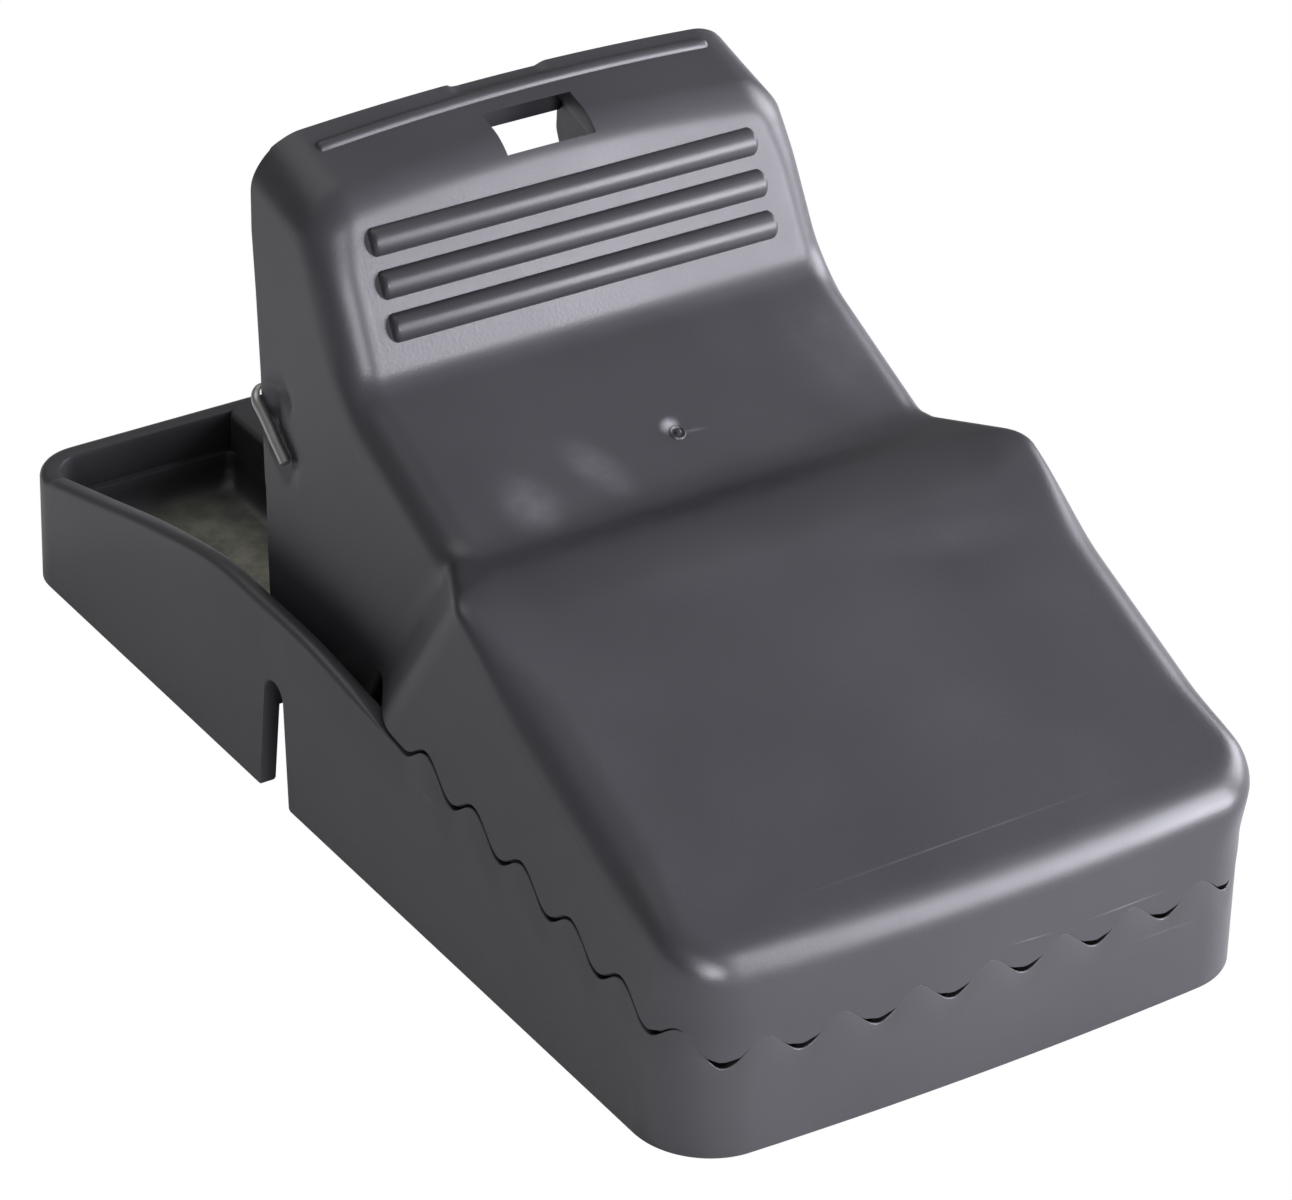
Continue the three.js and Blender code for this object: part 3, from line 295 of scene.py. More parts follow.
# slot and material of each finish
finishes = {
    "jaw": ("jaw_plastic", mouldedPlastic("jaw_plastic", "29282b", "302f32", 0.38, 0.35, [
        # pale marks with painted sheen and highlight, then painted shade
        ("8a898d", marks["upper"]), ("0b0b0c", marks["upperPaintedShade"]),
    ])),
    "base": ("jaw_plastic", mouldedPlastic("base_plastic", "2c2b2d", "333234", 0.38, 0.35, [
        # pale scratches, then dust and painted light on the tray floors
        ("8a898d", marks["lower"]), ("b8b8a4", marks["trayDustAndLight"]),
    ])),
    "trigger": ("trigger_plastic",
                mouldedPlastic("trigger_plastic", "242426", "302f32", 0.45, 0.5)),
    "axle": ("axle_steel", drawnSteel("axle_steel", "c9c8c4", 0.3)),
    "spring": ("spring_steel", drawnSteel("spring_steel", "a09f9d", 0.38)),
}
print("materials done")


# tools for meshes: all lengths are in mm until a mesh is made


def smoothStep(value, low, high):
    t = np.clip((np.asarray(value, float) - low) / (high - low), 0, 1)
    return t * t * (3 - 2 * t)


def addPiece(name, shells, body, finish, *nodes):
    # gathers closed shells into one mesh; each has points, n by 3, and faces, which run
    # anticlockwise seen from outside
    points, faces, count = [], [], 0
    for places, sides in shells:
        points.append(places)
        faces += [[int(i) + count for i in side] for side in sides]
        count += len(places)
    slot, material = finishes[finish]
    mesh = bpy.data.meshes.new(name)
    mesh.from_pydata((np.concatenate(points) * mm).tolist(), [], faces)
    mesh.validate()
    mesh.polygons.foreach_set("use_smooth", np.ones(len(mesh.polygons), bool))
    mesh.set_sharp_from_angle(angle=math.radians(38))
    mesh.materials.append(material)
    piece = newObject(name, mesh)
    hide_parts(*nodes)
    if body:
        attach(piece, body)
    return piece


def unit(vectors):
    # vectors cut to the length 1
    return vectors / np.maximum(np.linalg.norm(vectors, axis=-1, keepdims=True), 1e-9)


def sided(near, far, side):
    # the two ends of a span on the left (-1) or the right (1), lower one first
    return sorted((near * side, far * side))


def gridFaces(rows, columns, closed=False, ring=False, start=0, keep=None):
    # quads of a grid of points, row after row; closed joins the last column to the first,
    # ring the last row to the first, and keep says which quads stay
    r, c = np.meshgrid(np.arange(rows if ring else rows - 1),
                       np.arange(columns if closed else columns - 1), indexing="ij")
    here, there = start + r * columns, start + (r + 1) % rows * columns
    after = (c + 1) % columns
    quads = np.stack([here + c, here + after, there + after, there + c], -1)
    return (quads.reshape(-1, 4) if keep is None else quads[keep]).tolist()


def outward(points, faces):
    # turn all faces of a closed shell over if its volume comes out negative
    points = np.asarray(points, float)
    volume = 0.0
    for corners in {len(face) for face in faces}:
        fan = points[np.array([face for face in faces if len(face) == corners])]
        for i in range(1, corners - 1):
            volume += np.sum(fan[:, 0] * np.cross(fan[:, i], fan[:, i + 1]))
    return points, faces if volume >= 0 else [face[::-1] for face in faces]


def plate(outline, near, far, axis="x", bevel=0.25):
    # a flat outline carried along an axis, with its edges bevelled
    outline = np.asarray(outline, float)
    following = np.roll(outline, -1, 0)
    if np.sum(outline[:, 0] * following[:, 1] - following[:, 0] * outline[:, 1]) < 0:
        outline = outline[::-1]
    before = unit(outline - np.roll(outline, 1, 0))
    after = unit(np.roll(outline, -1, 0) - outline)
    left = (before + after)[:, ::-1] * (-1, 1)
    left /= np.maximum(1 + np.sum(before * after, 1, keepdims=True), 0.5)
    inset = outline + left * bevel
    count = len(outline)
    rings = []
    for flat, place in (
        (inset, near), (outline, near + bevel), (outline, far - bevel), (inset, far),
    ):
        level = np.full((count, 1), place)
        rings.append(np.hstack([level, flat] if axis == "x" else [flat, level]))
    faces = gridFaces(4, count, closed=True)
    faces += [tuple(range(count))[::-1], tuple(range(3 * count, 4 * count))]
    return outward(np.concatenate(rings), faces)


def block(xs, ys, zs, bevel=0.25):
    # box between pairs of x, y and z
    return plate([(y, z) for z in zs for y in (ys if z == zs[0] else ys[::-1])], *xs, bevel=bevel)


def softBlock(xs, ys, zs, radius, bevel=0.2):
    # box with round corners in plan
    return plate(roundRect(*xs, *ys, radius, 4), *zs, axis="z", bevel=bevel)


def roundRect(x0, x1, y0, y1, radii, steps=6):
    # rectangle with an arc at each corner, of one radius or of four, from (x1, y0) on
    outline = []
    for i, r in enumerate(np.broadcast_to(radii, 4).tolist()):
        x, y = (x1 - r, x1 - r, x0 + r, x0 + r)[i], (y0 + r, y1 - r, y1 - r, y0 + r)[i]
        turns = [math.radians(90 * (i - 1) + 90 * k / steps) for k in range(steps + 1)]
        outline += [(x + r * math.cos(turn), y + r * math.sin(turn)) for turn in turns]
    return outline


def lathe(profile, axis, centre, steps=48):
    # a profile of (along, radius) turned about an axis; it starts and ends there or is a loop
    turn = np.arange(steps) * 2 * math.pi / steps
    rows = []
    for along, radius in profile:
        one, two = radius * np.cos(turn), radius * np.sin(turn)
        level = np.full(steps, along)
        rows.append(np.stack([level, one, two] if axis == "x" else [one, two, level], 1))
    loop = profile[0][1] > 0 or profile[-1][1] > 0
    faces = gridFaces(len(profile), steps, closed=True, ring=loop)
    return outward(*joinSame(np.concatenate(rows) + np.asarray(centre, float), faces))


def joinSame(points, faces, reach=1e-5):
    # one number for points at the same place; faces lose the corners that fall together
    keys = np.round(points / reach).astype(np.int64)
    _, first, number = np.unique(keys, axis=0, return_index=True, return_inverse=True)
    order = np.argsort(first)
    number = np.argsort(order)[number.ravel()].tolist()
    cleaned = []
    for face in faces:
        corners = [number[i] for i in face]
        corners = [corner for i, corner in enumerate(corners) if corner != corners[i - 1]]
        if len(corners) > 2:
            cleaned.append(tuple(corners))
    return points[first[order]], cleaned


def rounded(along0, along1, outer, inner, soft=0.3):
    # profile of a ring or rod with softened edges
    if inner <= 0:
        return [(along0, 0), (along0, outer - soft), (along0 + soft * 0.3, outer - soft * 0.3),
                (along0 + soft, outer), (along1 - soft, outer),
                (along1 - soft * 0.3, outer - soft * 0.3), (along1, outer - soft), (along1, 0)]
    half = soft * 0.6
    return [(along0, inner + half), (along0, outer - soft), (along0 + soft, outer),
            (along1 - soft, outer), (along1, outer - soft), (along1, inner + half),
            (along1 - half, inner), (along0 + half, inner)]


def tube(path, radius, sides=12, tip=0.15):
    # a round wire along a path of points, with softened ends
    along = unit(np.gradient(path, axis=0))
    across = np.cross(along[0], (0.0, 0.0, 1.0))
    turn = np.arange(sides) * 2 * math.pi / sides
    rows = []
    for centre, direction, size in (
        (path[0] - along[0] * tip, along[0], radius * 0.7),
        *((point, direction, radius) for point, direction in zip(path, along)),
        (path[-1] + along[-1] * tip, along[-1], radius * 0.7),
    ):
        across = unit(across - direction * np.dot(across, direction))
        other = np.cross(direction, across)
        ring = np.outer(np.cos(turn), across) + np.outer(np.sin(turn), other)
        rows.append(centre + size * ring)
    return skinned(rows)


def skinned(loops, ring=False):
    # loops of the same number of points joined in turn; the ends are capped, or joined if ring
    count = len(loops[0])
    faces = gridFaces(len(loops), count, closed=True, ring=ring)
    if not ring:
        last = (len(loops) - 1) * count
        faces += [tuple(range(count))[::-1], tuple(range(last, last + count))]
    return outward(np.concatenate(loops), faces)


def flatLoop(outline, z):
    # a flat outline as points at one height
    outline = np.asarray(outline, float)
    return np.column_stack([outline, np.full(len(outline), float(z))])


def softCorners(outline, radius, steps=3):
    # a flat outline whose corners are cut by quadratic curves
    outline = np.asarray(outline, float)
    softened = []
    for i, here in enumerate(outline):
        before, after = outline[i - 1] - here, outline[(i + 1) % len(outline)] - here
        reach = [min(radius, 0.4 * np.linalg.norm(v)) for v in (before, after)]
        start, end = here + unit(before) * reach[0], here + unit(after) * reach[1]
        for k in range(steps + 1):
            t = k / steps
            softened.append((1 - t) ** 2 * start + 2 * t * (1 - t) * here + t ** 2 * end)
    return np.array(softened)


def turnedAbout(outline, pivot, degrees):
    # (y, z) points given from the pivot, turned about it
    cos, sin = math.cos(math.radians(degrees)), math.sin(math.radians(degrees))
    return [(pivot[1] + y * cos - z * sin, pivot[2] + y * sin + z * cos) for y, z in outline]


def curveThrough(knots, steps):
    # Catmull-Rom curve from the second to the last but one of some knots
    t = np.arange(steps)[:, None] / steps
    curve = [
        0.5 * (2 * b + (c - a) * t + (2 * a - 5 * b + 4 * c - d) * t ** 2
               + (3 * b - a - 3 * c + d) * t ** 3)
        for a, b, c, d in zip(knots, knots[1:], knots[2:], knots[3:])
    ]
    return np.concatenate([*curve, knots[-2:-1]])


# plan outline and closing line, shared by both jaws as in the CAD
jaws = {
    "half": 37.4, "front": -70.7, "rear": 72.0, "bow": 1.3, "frontCorner": 8.5, "rearCorner": 6.5,
    "toothHeight": 3.0, "frontTeeth": 3.5, "sideTeeth": 5, "sidePitch": 9.64,
    # heights of the valleys at the front and the first side valley, and their rise along the side
    "frontValley": 11.3, "sideValley": 13.7, "sideRise": 0.1536,
    "frontValleyInset": 5.2, "sideValleyY": -64.0,
    # rim behind the teeth, as (y, z)
    "rim": [(-7.1, 22.3), (-0.7, 23.2), (5.8, 23.9), (14.3, 24.1), (25.8, 24.0), (39.8, 21.2),
            (54.3, 17.5), (66.3, 14.4)],
    "axle": (0.0, 11.0, 13.3), "triggerPin": (0.0, -1.5, 6.8), "cup": (0.0, -32.0),
    "boreRadius": 1.5, "openAngle": 65, "pedalAngle": 12,
}
jawHalf, jawFront, frontBow = jaws["half"], jaws["front"], jaws["bow"]
frontCorner, rearCorner = jaws["frontCorner"], jaws["rearCorner"]
axle, pin, cup = jaws["axle"], jaws["triggerPin"], np.array(jaws["cup"])
frontRun = jawHalf - frontCorner
sideStartY, sideEndY = jawFront + frontCorner, jaws["rear"] - rearCorner
sideStart = frontRun + frontCorner * math.pi / 2
sideEnd = sideStart + sideEndY - sideStartY
rearRun = sideEnd + rearCorner * math.pi / 2
frontValleyRun = frontRun + frontCorner * math.asin(
    (jawHalf - jaws["frontValleyInset"] - frontRun) / frontCorner)
sideValleyRun = frontRun + frontCorner * math.acos(
    (sideStartY - jaws["sideValleyY"]) / frontCorner)
teethLength = jaws["sideTeeth"] * jaws["sidePitch"]
teethEnd = sideValleyRun + teethLength
rimStart = (sideStartY + teethEnd - sideStart, jaws["sideValley"] + jaws["sideRise"] * teethLength)
rimCurve = curveThrough(np.array([rimStart, rimStart, *jaws["rim"], jaws["rim"][-1]]), 24)


def bow(x, y):
    # the front wall bulges ahead, most at its middle
    reach = smoothStep(-np.asarray(y, float), -jawFront - 16, -jawFront - 2)
    return y - frontBow * (1 - (x / jawHalf) ** 2) * reach


def runAt(x, y):
    # length along the outline from the front middle
    x, y = np.abs(x), np.asarray(y, float)
    turn = np.arctan2(x - frontRun, np.maximum(sideStartY - y, 1e-9))
    corner = frontRun + frontCorner * np.clip(turn, 0, math.pi / 2)
    return np.where(y < sideStartY, np.where(x < frontRun, x, corner), sideStart + y - sideStartY)


def biteAt(run):
    # height of the lower jaw's rim, and how much of a valley it is there, from 0 to 1:
    # a cosine wave on a rising line, whose phase counts the teeth
    run = np.asarray(run, float)
    teeth = np.cumsum([0, jaws["frontTeeth"], 1, jaws["sideTeeth"]])
    phase = np.interp(run, [0, frontValleyRun, sideValleyRun, teethEnd], teeth)
    wave = (1 + np.cos(2 * math.pi * phase)) / 2
    turn = smoothStep(run, frontValleyRun, sideValleyRun)
    teeth = jaws["frontValley"] + (jaws["sideValley"] - jaws["frontValley"]) * turn
    teeth = teeth + jaws["sideRise"] * np.maximum(run - sideValleyRun, 0)
    teeth = teeth + jaws["toothHeight"] * wave
    smooth = np.interp(sideStartY + run - sideStart, *rimCurve.T)
    return np.where(run <= teethEnd, teeth, smooth), np.where(run <= teethEnd, 1 - wave, 1.0)


def outlinePoint(run):
    # plan point and outward direction at a run along the right half
    if run <= frontRun:
        return run, jawFront, 0.0, -1.0
    if run <= sideStart:
        turn = (run - frontRun) / frontCorner
        return (frontRun + frontCorner * math.sin(turn), sideStartY - frontCorner * math.cos(turn),
                math.sin(turn), -math.cos(turn))
    if run <= sideEnd:
        return jawHalf, sideStartY + run - sideStart, 1.0, 0.0
    turn = min((run - sideEnd) / rearCorner, math.pi / 2)
    past = max(run - rearRun, 0.0)
    return (jawHalf - rearCorner + rearCorner * math.cos(turn) - past,
            sideEndY + rearCorner * math.sin(turn), math.cos(turn), math.sin(turn))


upperJaw = {
    # edges of the side view as (y, z), from the snout's front over the fold to the roof's rear
    "frontEdge": (-70.7, 24.2), "brow": (-25.0, 44.35), "dip": (-15.6, 43.0), "kink": (5.2, 52.8),
    "panelTop": (15.5, 71.96), "topRear": (26.1, 75.1),
    # rear edge of the lever, from its foot up
    "leverRear": [(20.3, 8), (22.1, 24.4), (23.3, 36.1), (24.4, 46.9), (25.7, 56.3),
                  (26.8, 63.2), (27.1, 67.9), (26.1, 75.1)],
    "leverFoot": [(8.0, 7.2), (16.0, 7.2), (20.9, 13.5), (22.1, 24.4), (22.9, 34.0)],
    "thick": 2.2, "crown": 1.5, "roofSlope": 0.2962, "middleSlope": 0.4712,
    # half widths of the lever at its top and of the snout at its foot, and how walls lean
    "leverHalf": 30.9, "leverLean": 0.024, "snoutHalf": 37.6, "snoutFoot": 2, "snoutLean": 0.0165,
    # the shoulder's plane: a point, its slopes in x and z, and the length of (x slope, 1, z slope)
    "shoulderPoint": (31.67, -2.3, 22.9), "shoulderSlopes": (1.675, 0.676, 2.065),
    # closing line's gap: at the sides, more in a side valley, at the front, more at the corner,
    # more in a front valley
    "gap": (0.42, 0.2, 0.02, 0.16, 0.66),
    # roundings: of the corner in plan, the brim, the shoulder and where two slopes meet
    "corner": 8.2, "brim": 2.9, "shoulder": 1.0, "browRound": 2.6, "crest": 1.9, "edge": 4.0,
    "fold": 1.0, "neck": 1.2,
    "ribs": 3, "ribPitch": 4.74, "firstRib": 6.45, "ribRadius": 1.65, "ribHalf": 24.75,
    "ribEnd": 0.6,
    "windowY": (15.2, 20.7), "windowRearInside": 24.0, "windowHalf": 5.7, "panelHalf": 25.9,
    "beadX": (-25.2, 25.8), "beadY": (23.15, 23.9), "beadRadius": 0.9, "beadSunk": 0.4,
    "webX": (-1.25, 1.25), "hubX": (-6.0, 6.0), "hubRadius": 4.2, "searX": (-3.0, 3.0),
    "gussetX": ((5.72, 7.3), (7.2, 8.4)), "bridge": ((-7.3, 7.3), (24.7, 25.9), (69.3, 73.0)),
    "sprue": (1.3, -9.05, 46.08),
    # rows of the skin's grid: front, snout, brow, middle slope, panel, roof, behind the window
    "rows": (15, 54, 16, 28, 44, 20, 24),
}
frontEdge, brow, dip, kink, panelTop, topRear = [
    upperJaw[key] for key in ("frontEdge", "brow", "dip", "kink", "panelTop", "topRear")
]
leverRear = np.array(upperJaw["leverRear"])
skinThick = upperJaw["thick"]


def roundMax(a, b, r):
    # where two faces meet at an edge, rounded with radius r
    return np.minimum(np.maximum(a, b), -r) + np.hypot(np.maximum(a + r, 0), np.maximum(b + r, 0))


def roundMin(a, b, r):
    # where two faces meet in a fold, filled with radius r
    return -roundMax(-a, -b, r)


def above(y, z, one, two):
    # distance above the line through two (y, z) points
    slope = (two[1] - one[1]) / (two[0] - one[0])
    return (z - one[1] - slope * (y - one[0])) / math.hypot(1, slope)


def leverHalf(z):
    # half width of the lever, whose walls lean in towards its top
    return upperJaw["leverHalf"] + upperJaw["leverLean"] * (topRear[1] - z)


def snoutHalf(z):
    # half width of the snout, which leans in less
    return upperJaw["snoutHalf"] - upperJaw["snoutLean"] * (z - upperJaw["snoutFoot"])


def crownAt(x):
    # how far the roof drops beside its middle: a parabola
    return upperJaw["crown"] * (x / upperJaw["leverHalf"]) ** 2


def hookPocket(y, z):
    # depth of the pocket in the lever's wall where the spring's hook comes round:
    # a groove and a deeper end, each about a short line in the side view
    depth = 0.0
    for (y0, z0), (y1, z1), reach, deep in (
        ((21.8, 41.6), (18.0, 38.6), 2.8, 0.6), ((21.3, 44.6), (19.6, 45.4), 2.6, 0.5),
    ):
        dy, dz = y1 - y0, z1 - z0
        t = np.clip(((y - y0) * dy + (z - z0) * dz) / (dy ** 2 + dz ** 2), 0, 1)
        away = np.hypot(y - y0 - dy * t, z - z0 - dz * t)
        depth = depth + deep * smoothStep(-away, -reach, -0.2)
    return depth


def upperShape(points, detail=True):
    # signed distance to the upper jaw's outside: the rounded faces of the snout and of the
    # lever, joined in a filled fold; detail adds the hook's pocket and the roof's flat
    x, y, z = points[..., 0], points[..., 1], points[..., 2]
    wide = np.abs(x)
    front = jawFront - frontBow * (1 - (x / jawHalf) ** 2) - y
    side = wide - snoutHalf(z)
    browRound = upperJaw["browRound"] - 1.3 * smoothStep(wide, 28, 34)
    top = roundMax(above(y, z, frontEdge, brow), above(y, z, brow, dip), browRound)
    corner = upperJaw["corner"] - 1.9 * smoothStep(z, 16, 23)
    brim = upperJaw["brim"] + 1.5 * smoothStep(y, -66, -56) - 3.0 * smoothStep(y, -40, -26)
    snout = roundMax(roundMax(front, side, corner), top, brim)
    x0, y0, z0 = upperJaw["shoulderPoint"]
    inward, upward, length = upperJaw["shoulderSlopes"]
    shoulder = (y - y0 + upward * (z - z0) + inward * (wide - x0)) / length
    snout = roundMax(snout, shoulder, upperJaw["shoulder"])
    panel = above(y, z, kink, panelTop)
    roof = above(y, z + crownAt(x), panelTop, topRear)
    wall = wide - leverHalf(z)
    if detail:
        flat = smoothStep(x, -7.0, -6.1) * smoothStep(-x, -5.5, -4.6) * smoothStep(y, 24.3, 24.9)
        roof = roof + 0.42 * flat
        wall = wall + hookPocket(y, z)
    crest = roundMax(panel, roof, upperJaw["crest"] + 1.2 * smoothStep(wide, 25, 31))
    body = roundMin(above(y, z, dip, kink), crest, upperJaw["fold"])
    lever = roundMax(body, wall, upperJaw["edge"] + 1.6 * smoothStep(z, 62, 72))
    return roundMin(snout, np.maximum(lever, -40 - y), upperJaw["neck"])


def plainShape(points):
    return upperShape(points, detail=False)


def slopeOf(points, shape, h=0.02):
    # central differences of a shape's distance along the three axes
    slope = np.zeros_like(points)
    for axis in range(3):
        step = np.zeros(3)
        step[axis] = h
        slope[..., axis] = (shape(points + step) - shape(points - step)) / (2 * h)
    return slope


def settle(points, shape, level=0.0, free=(1, 1, 1), steps=9):
    # move points down the slope of the shape until they lie on its surface at that level
    for _ in range(steps):
        slope = slopeOf(points, shape) * np.asarray(free, float)
        size = np.sum(slope ** 2, -1, keepdims=True)
        move = (shape(points) - level)[..., None] * slope / np.maximum(size, 0.08)
        reach = np.linalg.norm(move, axis=-1, keepdims=True)
        points = points - move * np.minimum(1, 1.2 / np.maximum(reach, 1e-9))
    return points


def lineSteps(knots):
    # knots of (y, z, steps to the next one) as separate points
    line = []
    for (y0, z0, steps), (y1, z1, _) in zip(knots[:-1], knots[1:]):
        line += [(y0 + (y1 - y0) * i / steps, z0 + (z1 - z0) * i / steps) for i in range(steps)]
    return np.array(line + [knots[-1][:2]])


def rimAt(points):
    # lower rim of the upper jaw: at the front the crests close and only the valleys stand open,
    # at the sides a fine line stays
    x, y = points[..., 0], points[..., 1]
    height, valley = biteAt(runAt(x, y))
    side, sideValley, front, corner, frontValley = upperJaw["gap"]
    shut = smoothStep(-y, 62, 68)
    opening = front + corner * smoothStep(np.abs(x), 29, 33)
    opening = opening + frontValley * smoothStep(valley, 0.55, 1.0)
    return height + (side + sideValley * valley) * (1 - shut) + opening * shut


# the skin is one grid: rows run from the front teeth over the top to the lever's rear,
# and each row goes from the left side's end over the middle to the right side's end
frontRows, snoutRows, browRows, middleRows, panelRows, roofRows, backRows = upperJaw["rows"]
shoulderRow, dipRow, leverRow, windowStart = np.cumsum(upperJaw["rows"])[1:5].tolist()
windowEnd = windowStart + 1 + roofRows
windowNear, windowFar = upperJaw["windowY"]
topLine = lineSteps([
    (*frontEdge, snoutRows), (*brow, browRows), (*dip, middleRows), (*kink, panelRows),
    (windowNear, 71.4, 1), (*panelTop, roofRows),
    (windowFar, panelTop[1] + upperJaw["roofSlope"] * (windowFar - panelTop[0]), backRows),
    (*topRear, 0),
])
skinRows = frontRows + len(topLine)
# y where the side line of a row ends, at some rows
endRows = [0, frontRows, shoulderRow, dipRow, leverRow, windowStart + 1, skinRows - 1]
endYs = [-59.0, -48.0, -11.9, -2.3, 8.0, 22.9, 26.1]
rearRow = endRows[5]
teethRows = shoulderRow + 4
topX = np.concatenate([
    np.linspace(0, upperJaw["windowHalf"], 10),
    np.linspace(upperJaw["windowHalf"], upperJaw["panelHalf"], 38)[1:],
])
edgeSpread = 1 - (1 - np.linspace(0, 1, 15)[1:]) ** 1.15
sideDrop = np.linspace(0, 1, 41)[1:] ** 1.3


def sideEndAt(row):
    # where the side line of a row ends: on the rim, the lever's foot or its rear edge
    endY = float(np.interp(row, endRows, endYs))
    if endY < -9:
        return endY, float(rimAt(np.array([jawHalf, endY])))
    if endY < -2.3:
        return endY, np.interp(endY, [-9.0, -2.3], [22.2, 22.9])
    if row < leverRow:
        return endY, np.interp(endY, [-2.3, 1.0, 8.0], [22.9, 7.6, 7.2])
    if row < rearRow:
        share = (row - leverRow) / (rearRow - leverRow)
        return [np.interp(share, [0, 0.28, 0.46, 0.72, 1.0], line)
                for line in zip(*upperJaw["leverFoot"])]
    endZ = 34.0 + (61.0 - 34.0) * (row - rearRow) / (skinRows - 1 - rearRow)
    return np.interp(endZ, leverRear[:, 1], leverRear[:, 0]), endZ


def skinLine(row):
    # first guess of the right half of a row: across the top, then down the side
    onFront = row <= frontRows
    endY, endZ = sideEndAt(row)
    y, z = (jawFront, frontEdge[1]) if onFront else topLine[row - frontRows]

    def halfAt(height, narrow):
        narrow = np.clip(narrow, 0, 1)
        return snoutHalf(height) + (leverHalf(height) - snoutHalf(height)) * narrow

    edgeX = halfAt(z, (y + 25.2) / 9.3)
    xs = np.concatenate([topX, topX[-1] + (edgeX - topX[-1]) * edgeSpread])
    ys = bow(xs, y) if onFront else np.full_like(xs, y)
    line = np.stack([xs, ys, np.full_like(xs, z)], 1)
    endX = snoutHalf(18) if onFront else halfAt(endZ, (endY + 11.9) / 9.6)
    # the side line first runs back, then drops more and more steeply
    back = 1 - (1 - sideDrop) ** float(np.interp(row, [shoulderRow, leverRow], [2.5, 1.6]))
    way = np.stack([sideDrop, back, sideDrop], 1)
    line = np.concatenate([line, line[-1] + ((endX, endY, endZ) - line[-1]) * way])
    if onFront:
        rim = rimAt(line)
        line[:, 2] = rim + (line[:, 2] - rim) * row / frontRows
    return line


def setEnds(skin, level, shape):
    # rows and ends on the teeth keep the rim's height, the others follow foot and rear edge
    for _ in range(4):
        for pick in (np.s_[0, :], np.s_[:teethRows, 0], np.s_[:teethRows, -1]):
            line = skin[pick]
            line[:, 2] = rimAt(line)
            skin[pick] = settle(line, shape, level, (1, 1, 0), 5)
    for pick in (np.s_[teethRows:rearRow, 0], np.s_[teethRows:rearRow, -1]):
        skin[pick] = settle(skin[pick], shape, level, (1, 0, 0), 5)
    for _ in range(3):
        for pick in (np.s_[rearRow:, 0], np.s_[rearRow:, -1], np.s_[skinRows - 1, :]):
            line = skin[pick]
            line[:, 1] = np.interp(line[:, 2], leverRear[:, 1], leverRear[:, 0])
            skin[pick] = settle(line, shape, level, (1, 0, 1), 5)


def outerSkin():
    # the first guess and its mirror image, settled on the outside of the shape
    half = np.array([skinLine(row) for row in range(skinRows)])
    grid = np.concatenate([half[:, :0:-1] * (-1, 1, 1), half], 1)
    outer = settle(grid.copy(), upperShape)
    # rows above the teeth follow the rim where they now lie
    share = np.arange(frontRows)[:, None] / frontRows
    rise = outer[frontRows, :, 2] - rimAt(outer[frontRows])
    for _ in range(3):
        moved = outer[:frontRows]
        moved[..., 2] = rimAt(moved) + rise * share
        outer[:frontRows] = settle(moved, upperShape, 0.0, (1, 1, 0), 4)
    for pick in (np.s_[:, 0], np.s_[:, -1], np.s_[0]):
        outer[pick] = grid[pick]
    outer[-1] = settle(grid[-1], upperShape, 0.0, (1, 0, 1))
    setEnds(outer, 0.0, upperShape)
    return outer


def innerSkin(outer):
    # the outer skin moved in along its normals and settled one wall's thickness inside
    normal = unit(slopeOf(outer, plainShape))
    inner = settle(outer - skinThick * normal, plainShape, -skinThick, steps=6)
    flat = unit(normal * (1, 1, 0))
    for pick in (np.s_[0, :], np.s_[:rearRow, 0], np.s_[:rearRow, -1]):
        inner[pick] = (outer - skinThick * flat)[pick]
    setEnds(inner, -skinThick, plainShape)
    return inner


